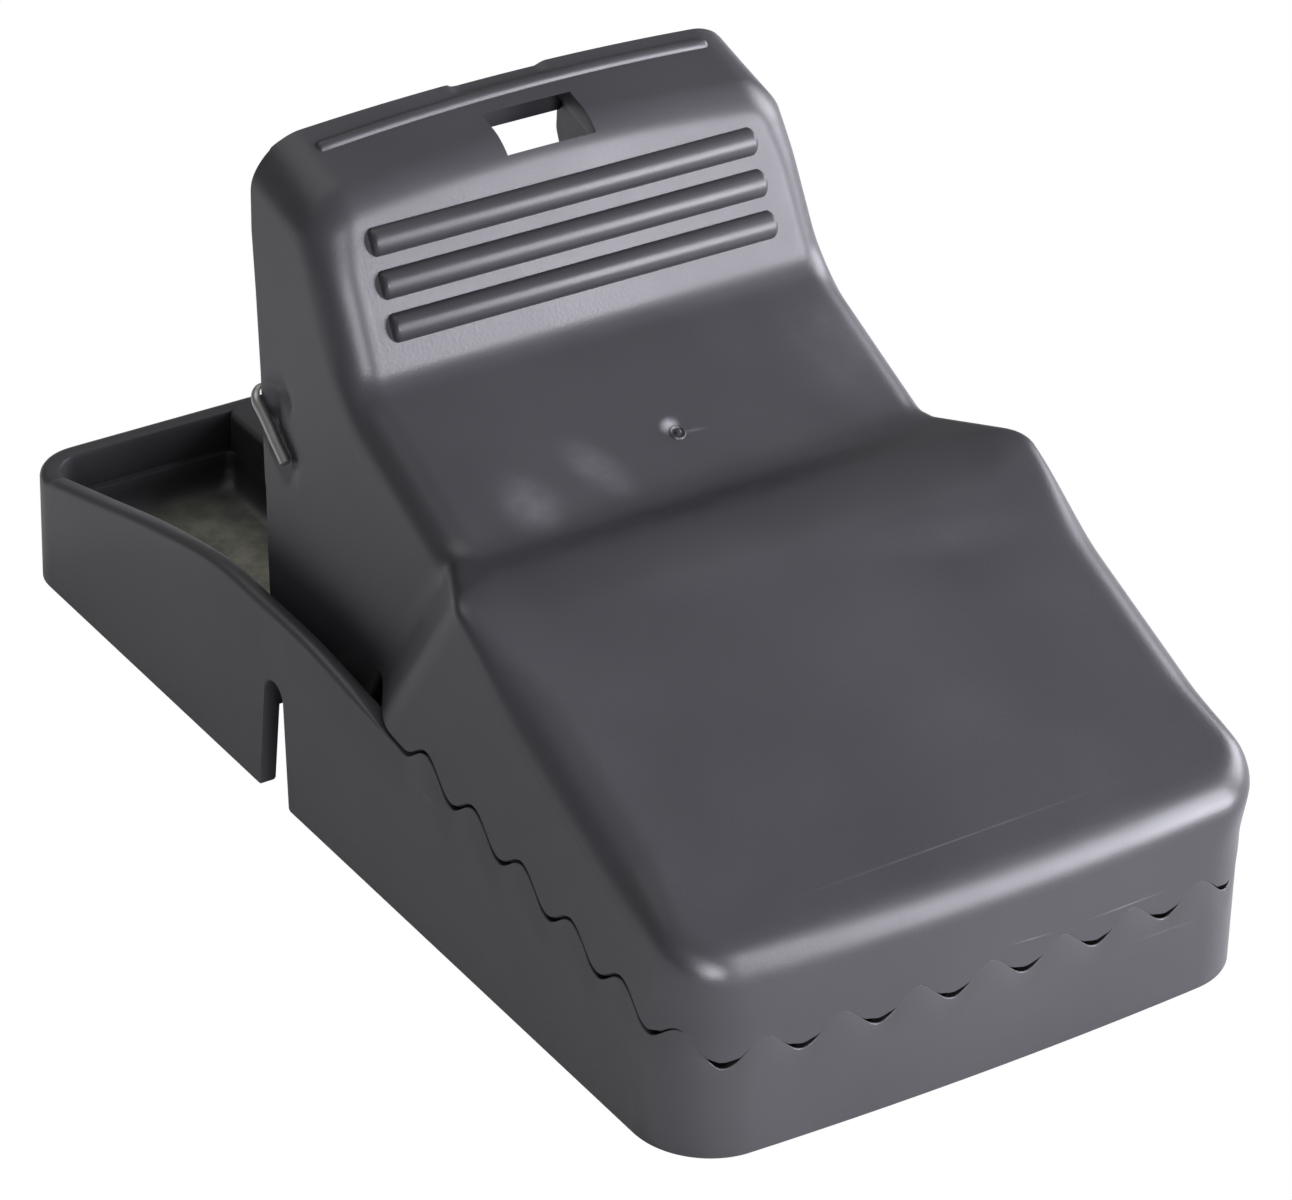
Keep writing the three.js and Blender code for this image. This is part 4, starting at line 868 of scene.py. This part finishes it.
def upperSkin():
    # both skins with the window cut out, joined along the border and the window by lips
    outer = outerSkin()
    inner = innerSkin(outer)
    columns = outer.shape[1]
    left, right = columns // 2 - 9, columns // 2 + 9
    acrossWindow = np.s_[left:right + 1]
    for skin, level, shape, row, y in (
        (outer, 0.0, upperShape, windowStart, windowNear),
        (outer, 0.0, upperShape, windowEnd, windowFar),
        (inner, -skinThick, plainShape, windowEnd, windowFar),
    ):
        line = skin[row, acrossWindow]
        line[:, 1] = y
        skin[row, acrossWindow] = settle(line, shape, level, (0, 0, 1))
    # the window's rear edge is undercut
    undercut = upperJaw["windowRearInside"]
    stretch = (topRear[0] - undercut) / (topRear[0] - windowFar)
    for row in range(windowEnd, skinRows):
        line = inner[row, acrossWindow]
        line[:, 1] = undercut + (line[:, 1] - windowFar) * stretch
        inner[row, acrossWindow] = settle(line, plainShape, -skinThick, (0, 0, 1))
    keep = np.ones((skinRows - 1, columns - 1), bool)
    keep[windowStart:windowEnd, left:right] = False
    total = skinRows * columns
    faces = gridFaces(skinRows, columns, keep=keep)
    faces += [face[::-1] for face in gridFaces(skinRows, columns, start=total, keep=keep)]
    number = np.arange(total).reshape(skinRows, columns)
    border = [*number[0], *number[1:, -1], *number[-1, -2::-1], *number[-2:0:-1, 0]]
    window = [*number[windowStart, left:right], *number[windowStart:windowEnd, right],
              *number[windowEnd, right:left:-1], *number[windowEnd:windowStart:-1, left]]
    points = [outer.reshape(-1, 3), inner.reshape(-1, 3)]
    extra = 2 * total
    for ring, turned in ((np.array(border), False), (np.array(window), True)):
        count = len(ring)
        a, b = points[0][ring], points[1][ring]
        across = b - a
        out = unit(np.cross(np.roll(a, -1, 0) - np.roll(a, 1, 0), across))
        # rounded lip: two middle rows stand out a little, less at the window and the front teeth
        size = -0.05 if turned else 0.22 - 0.19 * smoothStep(-a[:, 1:2], 62, 68)
        points += [a + across * 0.12 - out * size, b - across * 0.12 - out * size]
        rings = [ring, extra + np.arange(count), extra + count + np.arange(count), total + ring]
        extra += 2 * count
        for first, second in zip(rings[:-1], rings[1:]):
            quads = np.stack([np.roll(first, -1), first, second, np.roll(second, -1)], 1)
            faces += (quads[:, ::-1] if turned else quads).tolist()
    return outward(np.concatenate(points), faces)


def thumbRibs():
    # the ribs lie just in the panel, one below the other, with soft ends
    down = unit(np.subtract(kink, panelTop))
    out = np.array([down[1], -down[0]])
    half, radius, soft = upperJaw["ribHalf"], upperJaw["ribRadius"], upperJaw["ribEnd"]
    turns = np.radians(np.linspace(90, 0, 8))[:-1]
    ends = [(0.0, 0.0)]
    ends += [(soft * (1 - math.sin(a)), radius - soft + soft * math.cos(a)) for a in turns]
    profile = [(-half + along, r) for along, r in ends]
    profile += [(-half + soft, radius), (half - soft, radius)]
    profile += [(half - along, r) for along, r in ends[::-1]]
    for i in range(upperJaw["ribs"]):
        y, z = panelTop + down * (upperJaw["firstRib"] + upperJaw["ribPitch"] * i) - out * 0.3
        yield lathe(profile, "x", (0, y, z), 40)


def roofBead():
    # thin half-round bead that follows the crown of the roof, blunt at its ends
    (x0, x1), soft = upperJaw["beadX"], 0.6
    ends = soft * (1 - np.cos(np.linspace(0, math.pi / 2, 7)))
    xs = np.concatenate([
        x0 + ends, np.linspace(x0 + soft, x1 - soft, 50)[1:-1], (x1 - ends)[::-1],
    ])
    blunt = (1 - np.minimum(xs - x0, x1 - xs) / soft).clip(0)
    radii = upperJaw["beadRadius"] * np.sqrt(np.clip(1 - blunt ** 2, 0.01, 1))
    ys = np.interp(xs, upperJaw["beadX"], upperJaw["beadY"])
    zs = topRear[1] - upperJaw["roofSlope"] * (topRear[0] - ys) - crownAt(xs)
    turn = np.arange(16) * 2 * math.pi / 16
    return skinned([
        np.column_stack([np.full(16, x), y + r * np.cos(turn),
                         z - upperJaw["beadSunk"] + r * np.sin(turn)])
        for x, y, r, z in zip(xs, ys, radii, zs)
    ])


def sprueMark():
    # a low ring round a moat and a broken-off tip, square to the middle slope
    points, faces = lathe([
        (-0.5, 0), (-0.5, 1.0), (0.02, 0.98), (0.16, 0.86), (0.16, 0.76), (0.0, 0.66), (-0.06, 0.5),
        (0.06, 0.42), (0.3, 0.32), (0.36, 0.16), (0.36, 0),
    ], "z", (0, 0, 0), 24)
    turn = np.array(Matrix.Rotation(math.atan(upperJaw["middleSlope"]), 3, "X"))
    return points @ turn.T + upperJaw["sprue"], faces


def buildUpperJaw():
    web = softCorners([
        (-4.0, 47.3), (0.0, 49.2), (5.6, 51.9), (9.0, 57.5), (12.5, 64.0), (14.5, 62.0),
        (15.6, 50.0), (15.8, 30.0), (14.6, 13.3), (7.4, 13.3), (-1.0, 38.0),
    ], 1.2)
    hub = rounded(*upperJaw["hubX"], upperJaw["hubRadius"], jaws["boreRadius"], 0.4)
    sear = turnedAbout([(-9.0, 1.2), (-3.5, 0.3), (-1.4, 1.3), (-2.4, 3.7), (-8.4, 3.7)],
                       axle, jaws["openAngle"])
    # stepped gussets beside the window, and the bridge behind it
    deep = [(10.6, 60.9), (14.6, 68.3), (17.2, 71.2), (25.6, 73.6), (25.9, 66.5), (25.0, 64.4)]
    flush = [(11.6, 62.6), (14.6, 68.3), (17.2, 71.2), (22.3, 72.7), (22.3, 64.2)]
    gussets = [
        plate(softCorners(outline, 0.4), *sided(near, far, side), bevel=0.15)
        for side in (-1, 1) for outline, (near, far) in zip((flush, deep), upperJaw["gussetX"])
    ]
    addPiece("upper_jaw_moulding", [
        upperSkin(), plate(web, *upperJaw["webX"], bevel=0.3), lathe(hub, "x", axle),
        plate(softCorners(sear, 0.35, 2), *upperJaw["searX"]), *gussets,
        block(*upperJaw["bridge"]), *thumbRibs(), roofBead(), sprueMark(),
    ], "jaw", "jaw", "upper_jaw")


buildUpperJaw()
print("upper jaw done")

lowerJaw = {
    "thick": 2.2, "thickRear": 2.5, "thickFoot": 2.0, "lipDrop": 1.3, "chamfer": 0.22,
    "rimRear": 14.4, "wallStep": 0.55,
    # slot for the axle's end: place, half widths at the foot, above it and at the arc, arc height
    "slotY": 11.9, "slotFoot": 3.5, "slotAbove": 3.2, "slotHalf": 2.1, "slotTop": 13.1,
    "deck": (2.4, 4.2), "deckEndY": 3.0, "deckInset": 0.9, "deckRearY": (2.6, 19.0),
    "cupHole": 11.0, "gateX": 12.6, "gateHalf": 2.6,
    "trayX": (10.6, 35.7), "trayY": (29.0, 70.2), "trayFloor": 5.4, "trayFillet": (2.6, 2.2),
    "sill": ((-35.8, 35.8), (29.0, 30.6), (0.0, 5.1)),
    "cheekX": (28.2, 30.0), "bossX": (14.1, 29.8), "bossRadius": 3.8, "bossFootX": (14.1, 15.7),
    "postX": (22.6, 24.6), "stopX": (16.0, 19.0),
    # box web down the middle of the tray, open below: half width, y span, corner, height
    "boxWeb": [
        (9.2, 32.5, 68.7, 0.8, 12.9), (9.2, 32.5, 68.7, 0.8, 0.5), (10.7, 31.0, 70.2, 1.6, 0.5),
        (10.7, 31.0, 70.2, 1.6, 13.6), (10.6, 31.1, 70.2, 1.5, 14.0),
        (10.2, 31.5, 70.2, 1.2, 14.32), (9.8, 31.9, 70.2, 1.0, 14.4),
    ],
}


def wallStations():
    # runs along the right half of the outline with the height of the wall's low edge at each
    slotRun = sideStart + lowerJaw["slotY"] - sideStartY
    runs = [
        *np.arange(0, teethEnd, lowerJaw["wallStep"]), *np.linspace(teethEnd, sideEnd, 110),
        *(sideEnd + rearCorner * math.pi / 2 * i / 12 for i in range(1, 13)),
        *(rearRun + v for v in np.linspace(2, jawHalf - rearCorner, 14)),
    ]
    stations = [(float(r), 0.0) for r in runs if abs(r - slotRun) > 3.7]
    for side in (-1, 1):
        stations.append((slotRun + lowerJaw["slotFoot"] * side, 0.0))
        stations.append((slotRun + lowerJaw["slotAbove"] * side, 0.25))
    half = lowerJaw["slotHalf"]
    for turn in np.linspace(0, math.pi, 17):
        stations.append((slotRun - half * math.cos(turn),
                         lowerJaw["slotTop"] + half * math.sin(turn)))
    return sorted(stations)


def wallSection(run, low):
    # cross-section of the wall as (inset, height), from its foot up the outside and down again;
    # the rim is crisp at the teeth and soft round the tray
    y = outlinePoint(run)[1]
    height, valley = biteAt(run)
    if run >= sideEnd:
        height = lowerJaw["rimRear"]
    onSide = smoothStep(run, frontRun, sideStart)
    soft = 0.04 + 0.09 * onSide + 0.75 * smoothStep(run, teethEnd + 2, teethEnd + 14)
    soft += 0.14 * smoothStep(valley, 0.5, 0.9) * (1 - onSide)
    thick = lowerJaw["thick"]
    thick += (lowerJaw["thickRear"] - thick) * smoothStep(y, 28, 40)
    foot = lowerJaw["thickFoot"] + (thick - lowerJaw["thickFoot"]) * low / height
    start = low + lowerJaw["chamfer"]
    body = height - soft
    inSoft = soft * 0.8
    inner = height - lowerJaw["lipDrop"] * (1 - smoothStep(run, teethEnd, teethEnd + 9))
    lip = inner - inSoft
    return [
        (0.2, low), (0.0, start), (0.0, start + (body - start) * 0.35),
        (0.0, start + (body - start) * 0.7), (0.0, body), (soft * 0.08, height - soft * 0.62),
        (soft * 0.3, height - soft * 0.29), (soft * 0.62, height - soft * 0.08), (soft, height),
        (thick - inSoft, inner), (thick - inSoft * 0.3, inner - inSoft * 0.29), (thick, lip),
        (thick + (foot - thick) * 0.3, lip + (start - lip) * 0.3),
        (thick + (foot - thick) * 0.65, lip + (start - lip) * 0.65),
        (foot, start), (foot - 0.2, low),
    ]


def wallShell():
    # the section carried round the outline, right half and its mirror image
    right = []
    for run, low in wallStations():
        x, y, outX, outY = outlinePoint(run)
        inset, z = np.array(wallSection(run, low)).T
        x, y = x - outX * inset, y - outY * inset
        right.append(np.column_stack([x, bow(x, y), z]))
    loop = right + [section * (-1, 1, 1) for section in right[-2:0:-1]]
    faces = gridFaces(len(loop), len(loop[0]), closed=True, ring=True)
    return outward(np.concatenate(loop), [(a, d, c, b) for a, b, c, d in faces])


def trayShell(side):
    # moulded tray of one pocket: a ledge, a wall and a soft fillet down to the floor
    (x0, x1), (y0, y1) = lowerJaw["trayX"], lowerJaw["trayY"]
    wallFillet, webFillet = lowerJaw["trayFillet"]
    section = [
        # inset at the outer and rear walls, inset at the web, height
        (0.0, 0.0, 3.8), (0.0, 0.0, 9.2), (0.0, 0.0, 9.5), (1.3, 0.12, 9.5), (1.52, 0.14, 9.42),
        (1.6, 0.15, 9.2), (1.72, 0.2, 8.3),
    ]
    for turn in np.linspace(0, math.pi / 2, 7):
        section.append((1.75 + wallFillet * (1 - math.cos(turn)),
                        0.2 + webFillet * (1 - math.cos(turn)), 8.0 - 2.6 * math.sin(turn)))
    loops = []
    for wallInset, webInset, z in section:
        radii = (0.4, max(5.6 - wallInset, 2.4), 1.2 + webInset * 0.6, 0.4)
        outline = roundRect(x0 + webInset, x1 - wallInset, y0, y1 - wallInset, radii, 10)
        corners = np.reshape(outline, (4, -1, 2))
        # seven more points along each straight between two corners
        share = np.arange(1, 8)[:, None] / 8
        line = np.concatenate([
            part for corner, after in zip(corners, np.roll(corners, -1, 0))
            for part in (corner, corner[-1] + (after[0] - corner[-1]) * share)
        ])
        # the fillet runs out towards the open front end
        wall = smoothStep(line[:, 1], 30.2, 34.5)
        floor = lowerJaw["trayFloor"]
        heights = np.full(len(line), z) if z < 4 else floor + (z - floor) * wall
        loops.append(np.column_stack([line[:, 0] * side, line[:, 1], heights]))
    return skinned(loops)


def aroundLoop(centre, outline, angles):
    # where rays from the centre at these angles meet an outline
    outline = np.asarray(outline, float) - centre
    after = np.roll(outline, -1, 0)
    loop = []
    for angle in angles:
        ray = np.array([math.cos(angle), math.sin(angle)])
        cross = outline[:, 0] * ray[1] - outline[:, 1] * ray[0]
        crossAfter = after[:, 0] * ray[1] - after[:, 1] * ray[0]
        best = 0.0
        for i in np.nonzero((cross <= 0) != (crossAfter <= 0))[0]:
            t = cross[i] / (cross[i] - crossAfter[i])
            best = max(best, float((outline[i] + (after[i] - outline[i]) * t) @ ray))
        loop.append(centre + ray * best)
    return np.array(loop)


def plateWithHole(centre, outline, hole, low, high, bevel=0.25, steps=180):
    # level plate between two outlines that both go round the centre once
    angles = [math.atan2(y - centre[1], x - centre[0]) for x, y in [*outline, *hole]]
    angles += [2 * math.pi * i / steps - math.pi for i in range(steps)]
    angles = sorted({round(a, 5) for a in angles})
    outer, inner = [aroundLoop(centre, line, angles) for line in (outline, hole)]
    way = unit(outer - inner) * bevel
    return skinned([
        flatLoop(inner + way, low), flatLoop(inner, low + bevel), flatLoop(inner, high - bevel),
        flatLoop(inner + way, high), flatLoop(outer - way, high), flatLoop(outer, high - bevel),
        flatLoop(outer, low + bevel), flatLoop(outer - way, low),
    ], ring=True)


def circle(centre, radius, steps=72):
    # points on a circle, evenly turned
    turns = [2 * math.pi * i / steps for i in range(steps)]
    return [(centre[0] + radius * math.cos(t), centre[1] + radius * math.sin(t)) for t in turns]


def deckShell():
    # floor under the trigger, with a keyhole whose two gates let the cup's lugs through
    outline = []
    for run in [*np.linspace(0, frontRun, 12), *np.linspace(frontRun, sideStart, 10)[1:],
                *np.linspace(sideStart, sideStart + lowerJaw["deckEndY"] - sideStartY, 10)[1:]]:
        x, y, outX, outY = outlinePoint(run)
        x, y = x - outX * lowerJaw["deckInset"], y - outY * lowerJaw["deckInset"]
        outline.append((x, float(bow(x, y))))
    outline += [(-x, y) for x, y in reversed(outline[1:])]
    radius, gateX, gate = lowerJaw["cupHole"], lowerJaw["gateX"], lowerJaw["gateHalf"]
    rim = math.sqrt(radius ** 2 - gate ** 2)
    corners = [(rim, -gate), (gateX, -gate), (gateX, gate), (rim, gate)]
    arc = [p for p in circle((0, 0), radius) if p[1] > gate + 0.02]
    half = np.array(corners + arc)
    return plateWithHole(cup, outline, np.concatenate([half, -half]) + cup, *lowerJaw["deck"])


def buildLowerJaw():
    boxWeb = skinned([
        flatLoop(roundRect(-half, half, y0, y1, radius), z)
        for half, y0, y1, radius, z in lowerJaw["boxWeb"]
    ])
    shells = [
        wallShell(), trayShell(-1), trayShell(1), block(*lowerJaw["sill"]), boxWeb, deckShell(),
        block((-30.0, 30.0), lowerJaw["deckRearY"], lowerJaw["deck"]),
    ]
    cheek = softCorners([
        (3.0, 2.6), (19.0, 2.6), (16.5, 15.3), (14.0, 18.0), (8.0, 18.0), (5.5, 15.3),
    ], 1.6)
    post = softCorners([(-5.5, 2.6), (2.5, 2.6), (0.9, 9.4), (-3.9, 9.4)], 1.2)
    for side in (-1, 1):
        boss = rounded(*sided(*lowerJaw["bossX"], side), lowerJaw["bossRadius"],
                       jaws["boreRadius"], 0.4)
        shells += [
            plate(cheek, *sided(*lowerJaw["cheekX"], side)), lathe(boss, "x", axle),
            block(sided(*lowerJaw["bossFootX"], side), (8.4, 13.6), (2.6, 11.8)),
            plate(post, *sided(*lowerJaw["postX"], side)),
            block(sided(*lowerJaw["stopX"], side), (-47.0, -44.0), (4.0, 5.5)),
        ]
    addPiece("lower_jaw_moulding", shells, "base", "base", "lower_jaw")


trigger = {
    "half": 22, "y": (-52, -1.5), "corner": 5, "level": (5.8, 7.8), "hole": 12.6,
    "hinge": 2.2, "hingeBore": 1.3, "latchX": (-3.0, 3.0),
    "treads": 4, "treadX": (-16, 16), "firstTreadY": -49.8, "treadPitch": 2.1, "treadTop": 8.4,
}


def buildTrigger():
    half, (low, high) = trigger["half"], trigger["level"]
    plan = roundRect(-half, half, *trigger["y"], trigger["corner"], 8)
    hinge = rounded(-half, half, trigger["hinge"], trigger["hingeBore"])
    latch = turnedAbout([
        (-1.8, -0.3), (2.5, -0.3), (1.9, 5.6), (4.2, 6.1), (4.2, 7.2), (-1.1, 7.2),
    ], pin, jaws["pedalAngle"])
    shells = [
        plateWithHole(cup, plan, circle(cup, trigger["hole"]), low, high, 0.35),
        lathe(hinge, "x", pin), plate(softCorners(latch, 0.5), *trigger["latchX"]),
    ]
    for i in range(trigger["treads"]):
        y = trigger["firstTreadY"] + trigger["treadPitch"] * i
        shells.append(softBlock(trigger["treadX"], (y - 0.4, y + 0.4),
                                (high - 0.3, trigger["treadTop"]), 0.35))
    addPiece("trigger_pedal_moulding", shells, "pedal", "trigger", "trigger_pedal")


baitCup = {
    "coinSlot": (6.0, 0.9), "slotZ": (1.6, 0.9),
    # radius and height, from the foot's edge over the rim and down into the well
    "profile": [(12.3, 0.9), (12.6, 1.15), (12.6, 1.85), (12.35, 2.1), (10.7, 2.1), (10.45, 2.3),
                (10.4, 9.3), (10.25, 9.65), (9.9, 9.8), (9.5, 9.75), (9.2, 9.4), (9.1, 3.6),
                (8.7, 2.75), (7.9, 2.4), (3.0, 2.3)],
    "lugX": (-2.3, 2.3), "lugY": (-44.0, -22.8), "lugDeep": 2.8, "lugZ": (4.5, 5.4),
}


def buildCup():
    # turned body with a coin slot in its foot: each loop meets the same rays
    slotX, slotY = baitCup["coinSlot"]
    corner = math.atan2(slotY, slotX)
    angles = [2 * math.pi * i / 72 for i in range(72)]
    angles += [corner, math.pi - corner, math.pi + corner, 2 * math.pi - corner]
    angles = sorted({round(a, 5) for a in angles})
    ray = np.array([(math.cos(a), math.sin(a)) for a in angles])
    slot = ray * np.min([slotX, slotY] / np.maximum(np.abs(ray), 1e-6), 1, keepdims=True)
    loops = [flatLoop(cup + slot, z) for z in baitCup["slotZ"]]
    loops += [flatLoop(cup + ray * radius, z) for radius, z in baitCup["profile"]]
    lugs = [
        softBlock(baitCup["lugX"], (y, y + baitCup["lugDeep"]), baitCup["lugZ"], 0.5)
        for y in baitCup["lugY"]
    ]
    addPiece("bait_cup_moulding", [skinned(loops), *lugs], "cup", "trigger", "bait_cup")


rods = {
    "axleHalf": 34.7, "axleRadius": 1.2, "pinHalf": 24.6, "pinRadius": 1.0,
    "capRadius": 3.6, "capBore": 1.5, "capThick": 1.2, "capGap": 0.3,
}


def buildRods():
    for name, half, radius, soft, centre, steps, node in (
        ("axle_rod", rods["axleHalf"], rods["axleRadius"], 0.3, axle, 32, "pivot_axle"),
        ("trigger_rod", rods["pinHalf"], rods["pinRadius"], 0.25, pin, 28, "trigger_pin"),
    ):
        rod = lathe(rounded(-half, half, radius, 0, soft), "x", centre, steps)
        addPiece(name, [rod], "base", "axle", node)
    near = leverHalf(axle[2] - rods["capRadius"]) + rods["capGap"]
    for name, side in (("left", -1), ("right", 1)):
        low, high = sided(near, near + rods["capThick"], side)
        cap = lathe(rounded(low, high, rods["capRadius"], rods["capBore"], 0.35), "x", axle)
        addPiece("push_cap_" + name, [cap], "base", "axle", "axle_cap_" + name)


spring = {
    "wire": 0.75, "drawnWire": 0.68, "gap": 1.05, "coil": 5.3, "pitch": 2.05, "turns": 5,
    "footY": 33, "footZ": 5.4, "outerX": 28.2, "outerGap": 0.383, "hookZ": 43.9,
    # span of x in metres along the coil, between its end at the base and its end at the jaw
    "blend": (0.0166, 0.0262),
}


def smoothed(points, steps):
    # a curve through points that goes straight on at both ends
    points = np.array(points)
    return curveThrough(np.concatenate([
        2 * points[:1] - points[1:2], points, 2 * points[-1:] - points[-2:-1],
    ]), steps)


def springPath():
    # foot on the tray floor, coil on the boss, leg up inside the lever, hook round its rear edge
    wire, gap, coil, pitch = [spring[key] for key in ("wire", "gap", "coil", "pitch")]
    _, axleY, axleZ = axle
    footY, hookZ = spring["footY"], spring["hookZ"]
    startX = spring["outerX"] - spring["outerGap"] - wire - pitch * spring["turns"]
    footZ = spring["footZ"] + gap
    footRise = math.asin((axleZ - footZ - coil) / (footY - axleY))
    startTurn = -math.pi / 2 - footRise
    behind = float(np.interp(hookZ, leverRear[:, 1], leverRear[:, 0])) + gap
    hook = np.array([behind - wire / 2, hookZ - 3 * wire])
    toHook = hook - (axleY, axleZ)
    leave = math.atan2(toHook[1], toHook[0]) + math.acos(coil / np.linalg.norm(toHook))
    total = startTurn - (leave - 2 * math.pi * spring["turns"])
    endX = startX + pitch * total / (2 * math.pi)
    foot = [(startX, footY, footZ), (startX, 31.5, footZ + 1.5 * math.tan(footRise)),
            (startX, 22, (footZ + axleZ - coil + wire / 2) / 2)]
    t = np.linspace(0, 1, 150)
    turn = startTurn - total * t
    winding = np.column_stack([startX + (endX - startX) * t, axleY + coil * np.cos(turn),
                               axleZ + coil * np.sin(turn)])
    wallX = leverHalf(hookZ)
    inside, outside = wallX - 2.0 - gap, wallX - 0.6 + gap
    last = winding[-1]

    def up(share, x):
        return (x, *(last[1:] + (hook - last[1:]) * share))

    leg = [last, up(0.2, endX), up(0.45, (endX + inside) / 2 + 0.2),
           up(0.75, inside - wire / 2), up(0.92, inside), up(1.0, inside + 0.15),
           (wallX - 2.0, behind + 0.42, hookZ - 0.3), (wallX - 1.1, behind + 0.52, hookZ),
           (wallX - 0.3, behind + 0.25, hookZ - 0.1), (outside, behind - 0.9, hookZ - 0.5),
           (outside, 22.5, hookZ - 1.75), (outside, 20.3, 40.35), (outside, 18.1, 38.65)]
    return np.concatenate([smoothed(foot, 4), winding, smoothed(leg, 6)[1:]])


def buildSprings():
    path = springPath()
    near, far = spring["blend"]
    for name, side in (("left", -1), ("right", 1)):
        wire = tube(path * (side, 1, 1), spring["drawnWire"])
        piece = addPiece("spring_wire_" + name, [wire], None, "spring", "jaw_spring_" + name)
        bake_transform(piece)


buildLowerJaw()
buildTrigger()
buildCup()
buildRods()
buildSprings()
print("lower jaw, trigger and springs done")
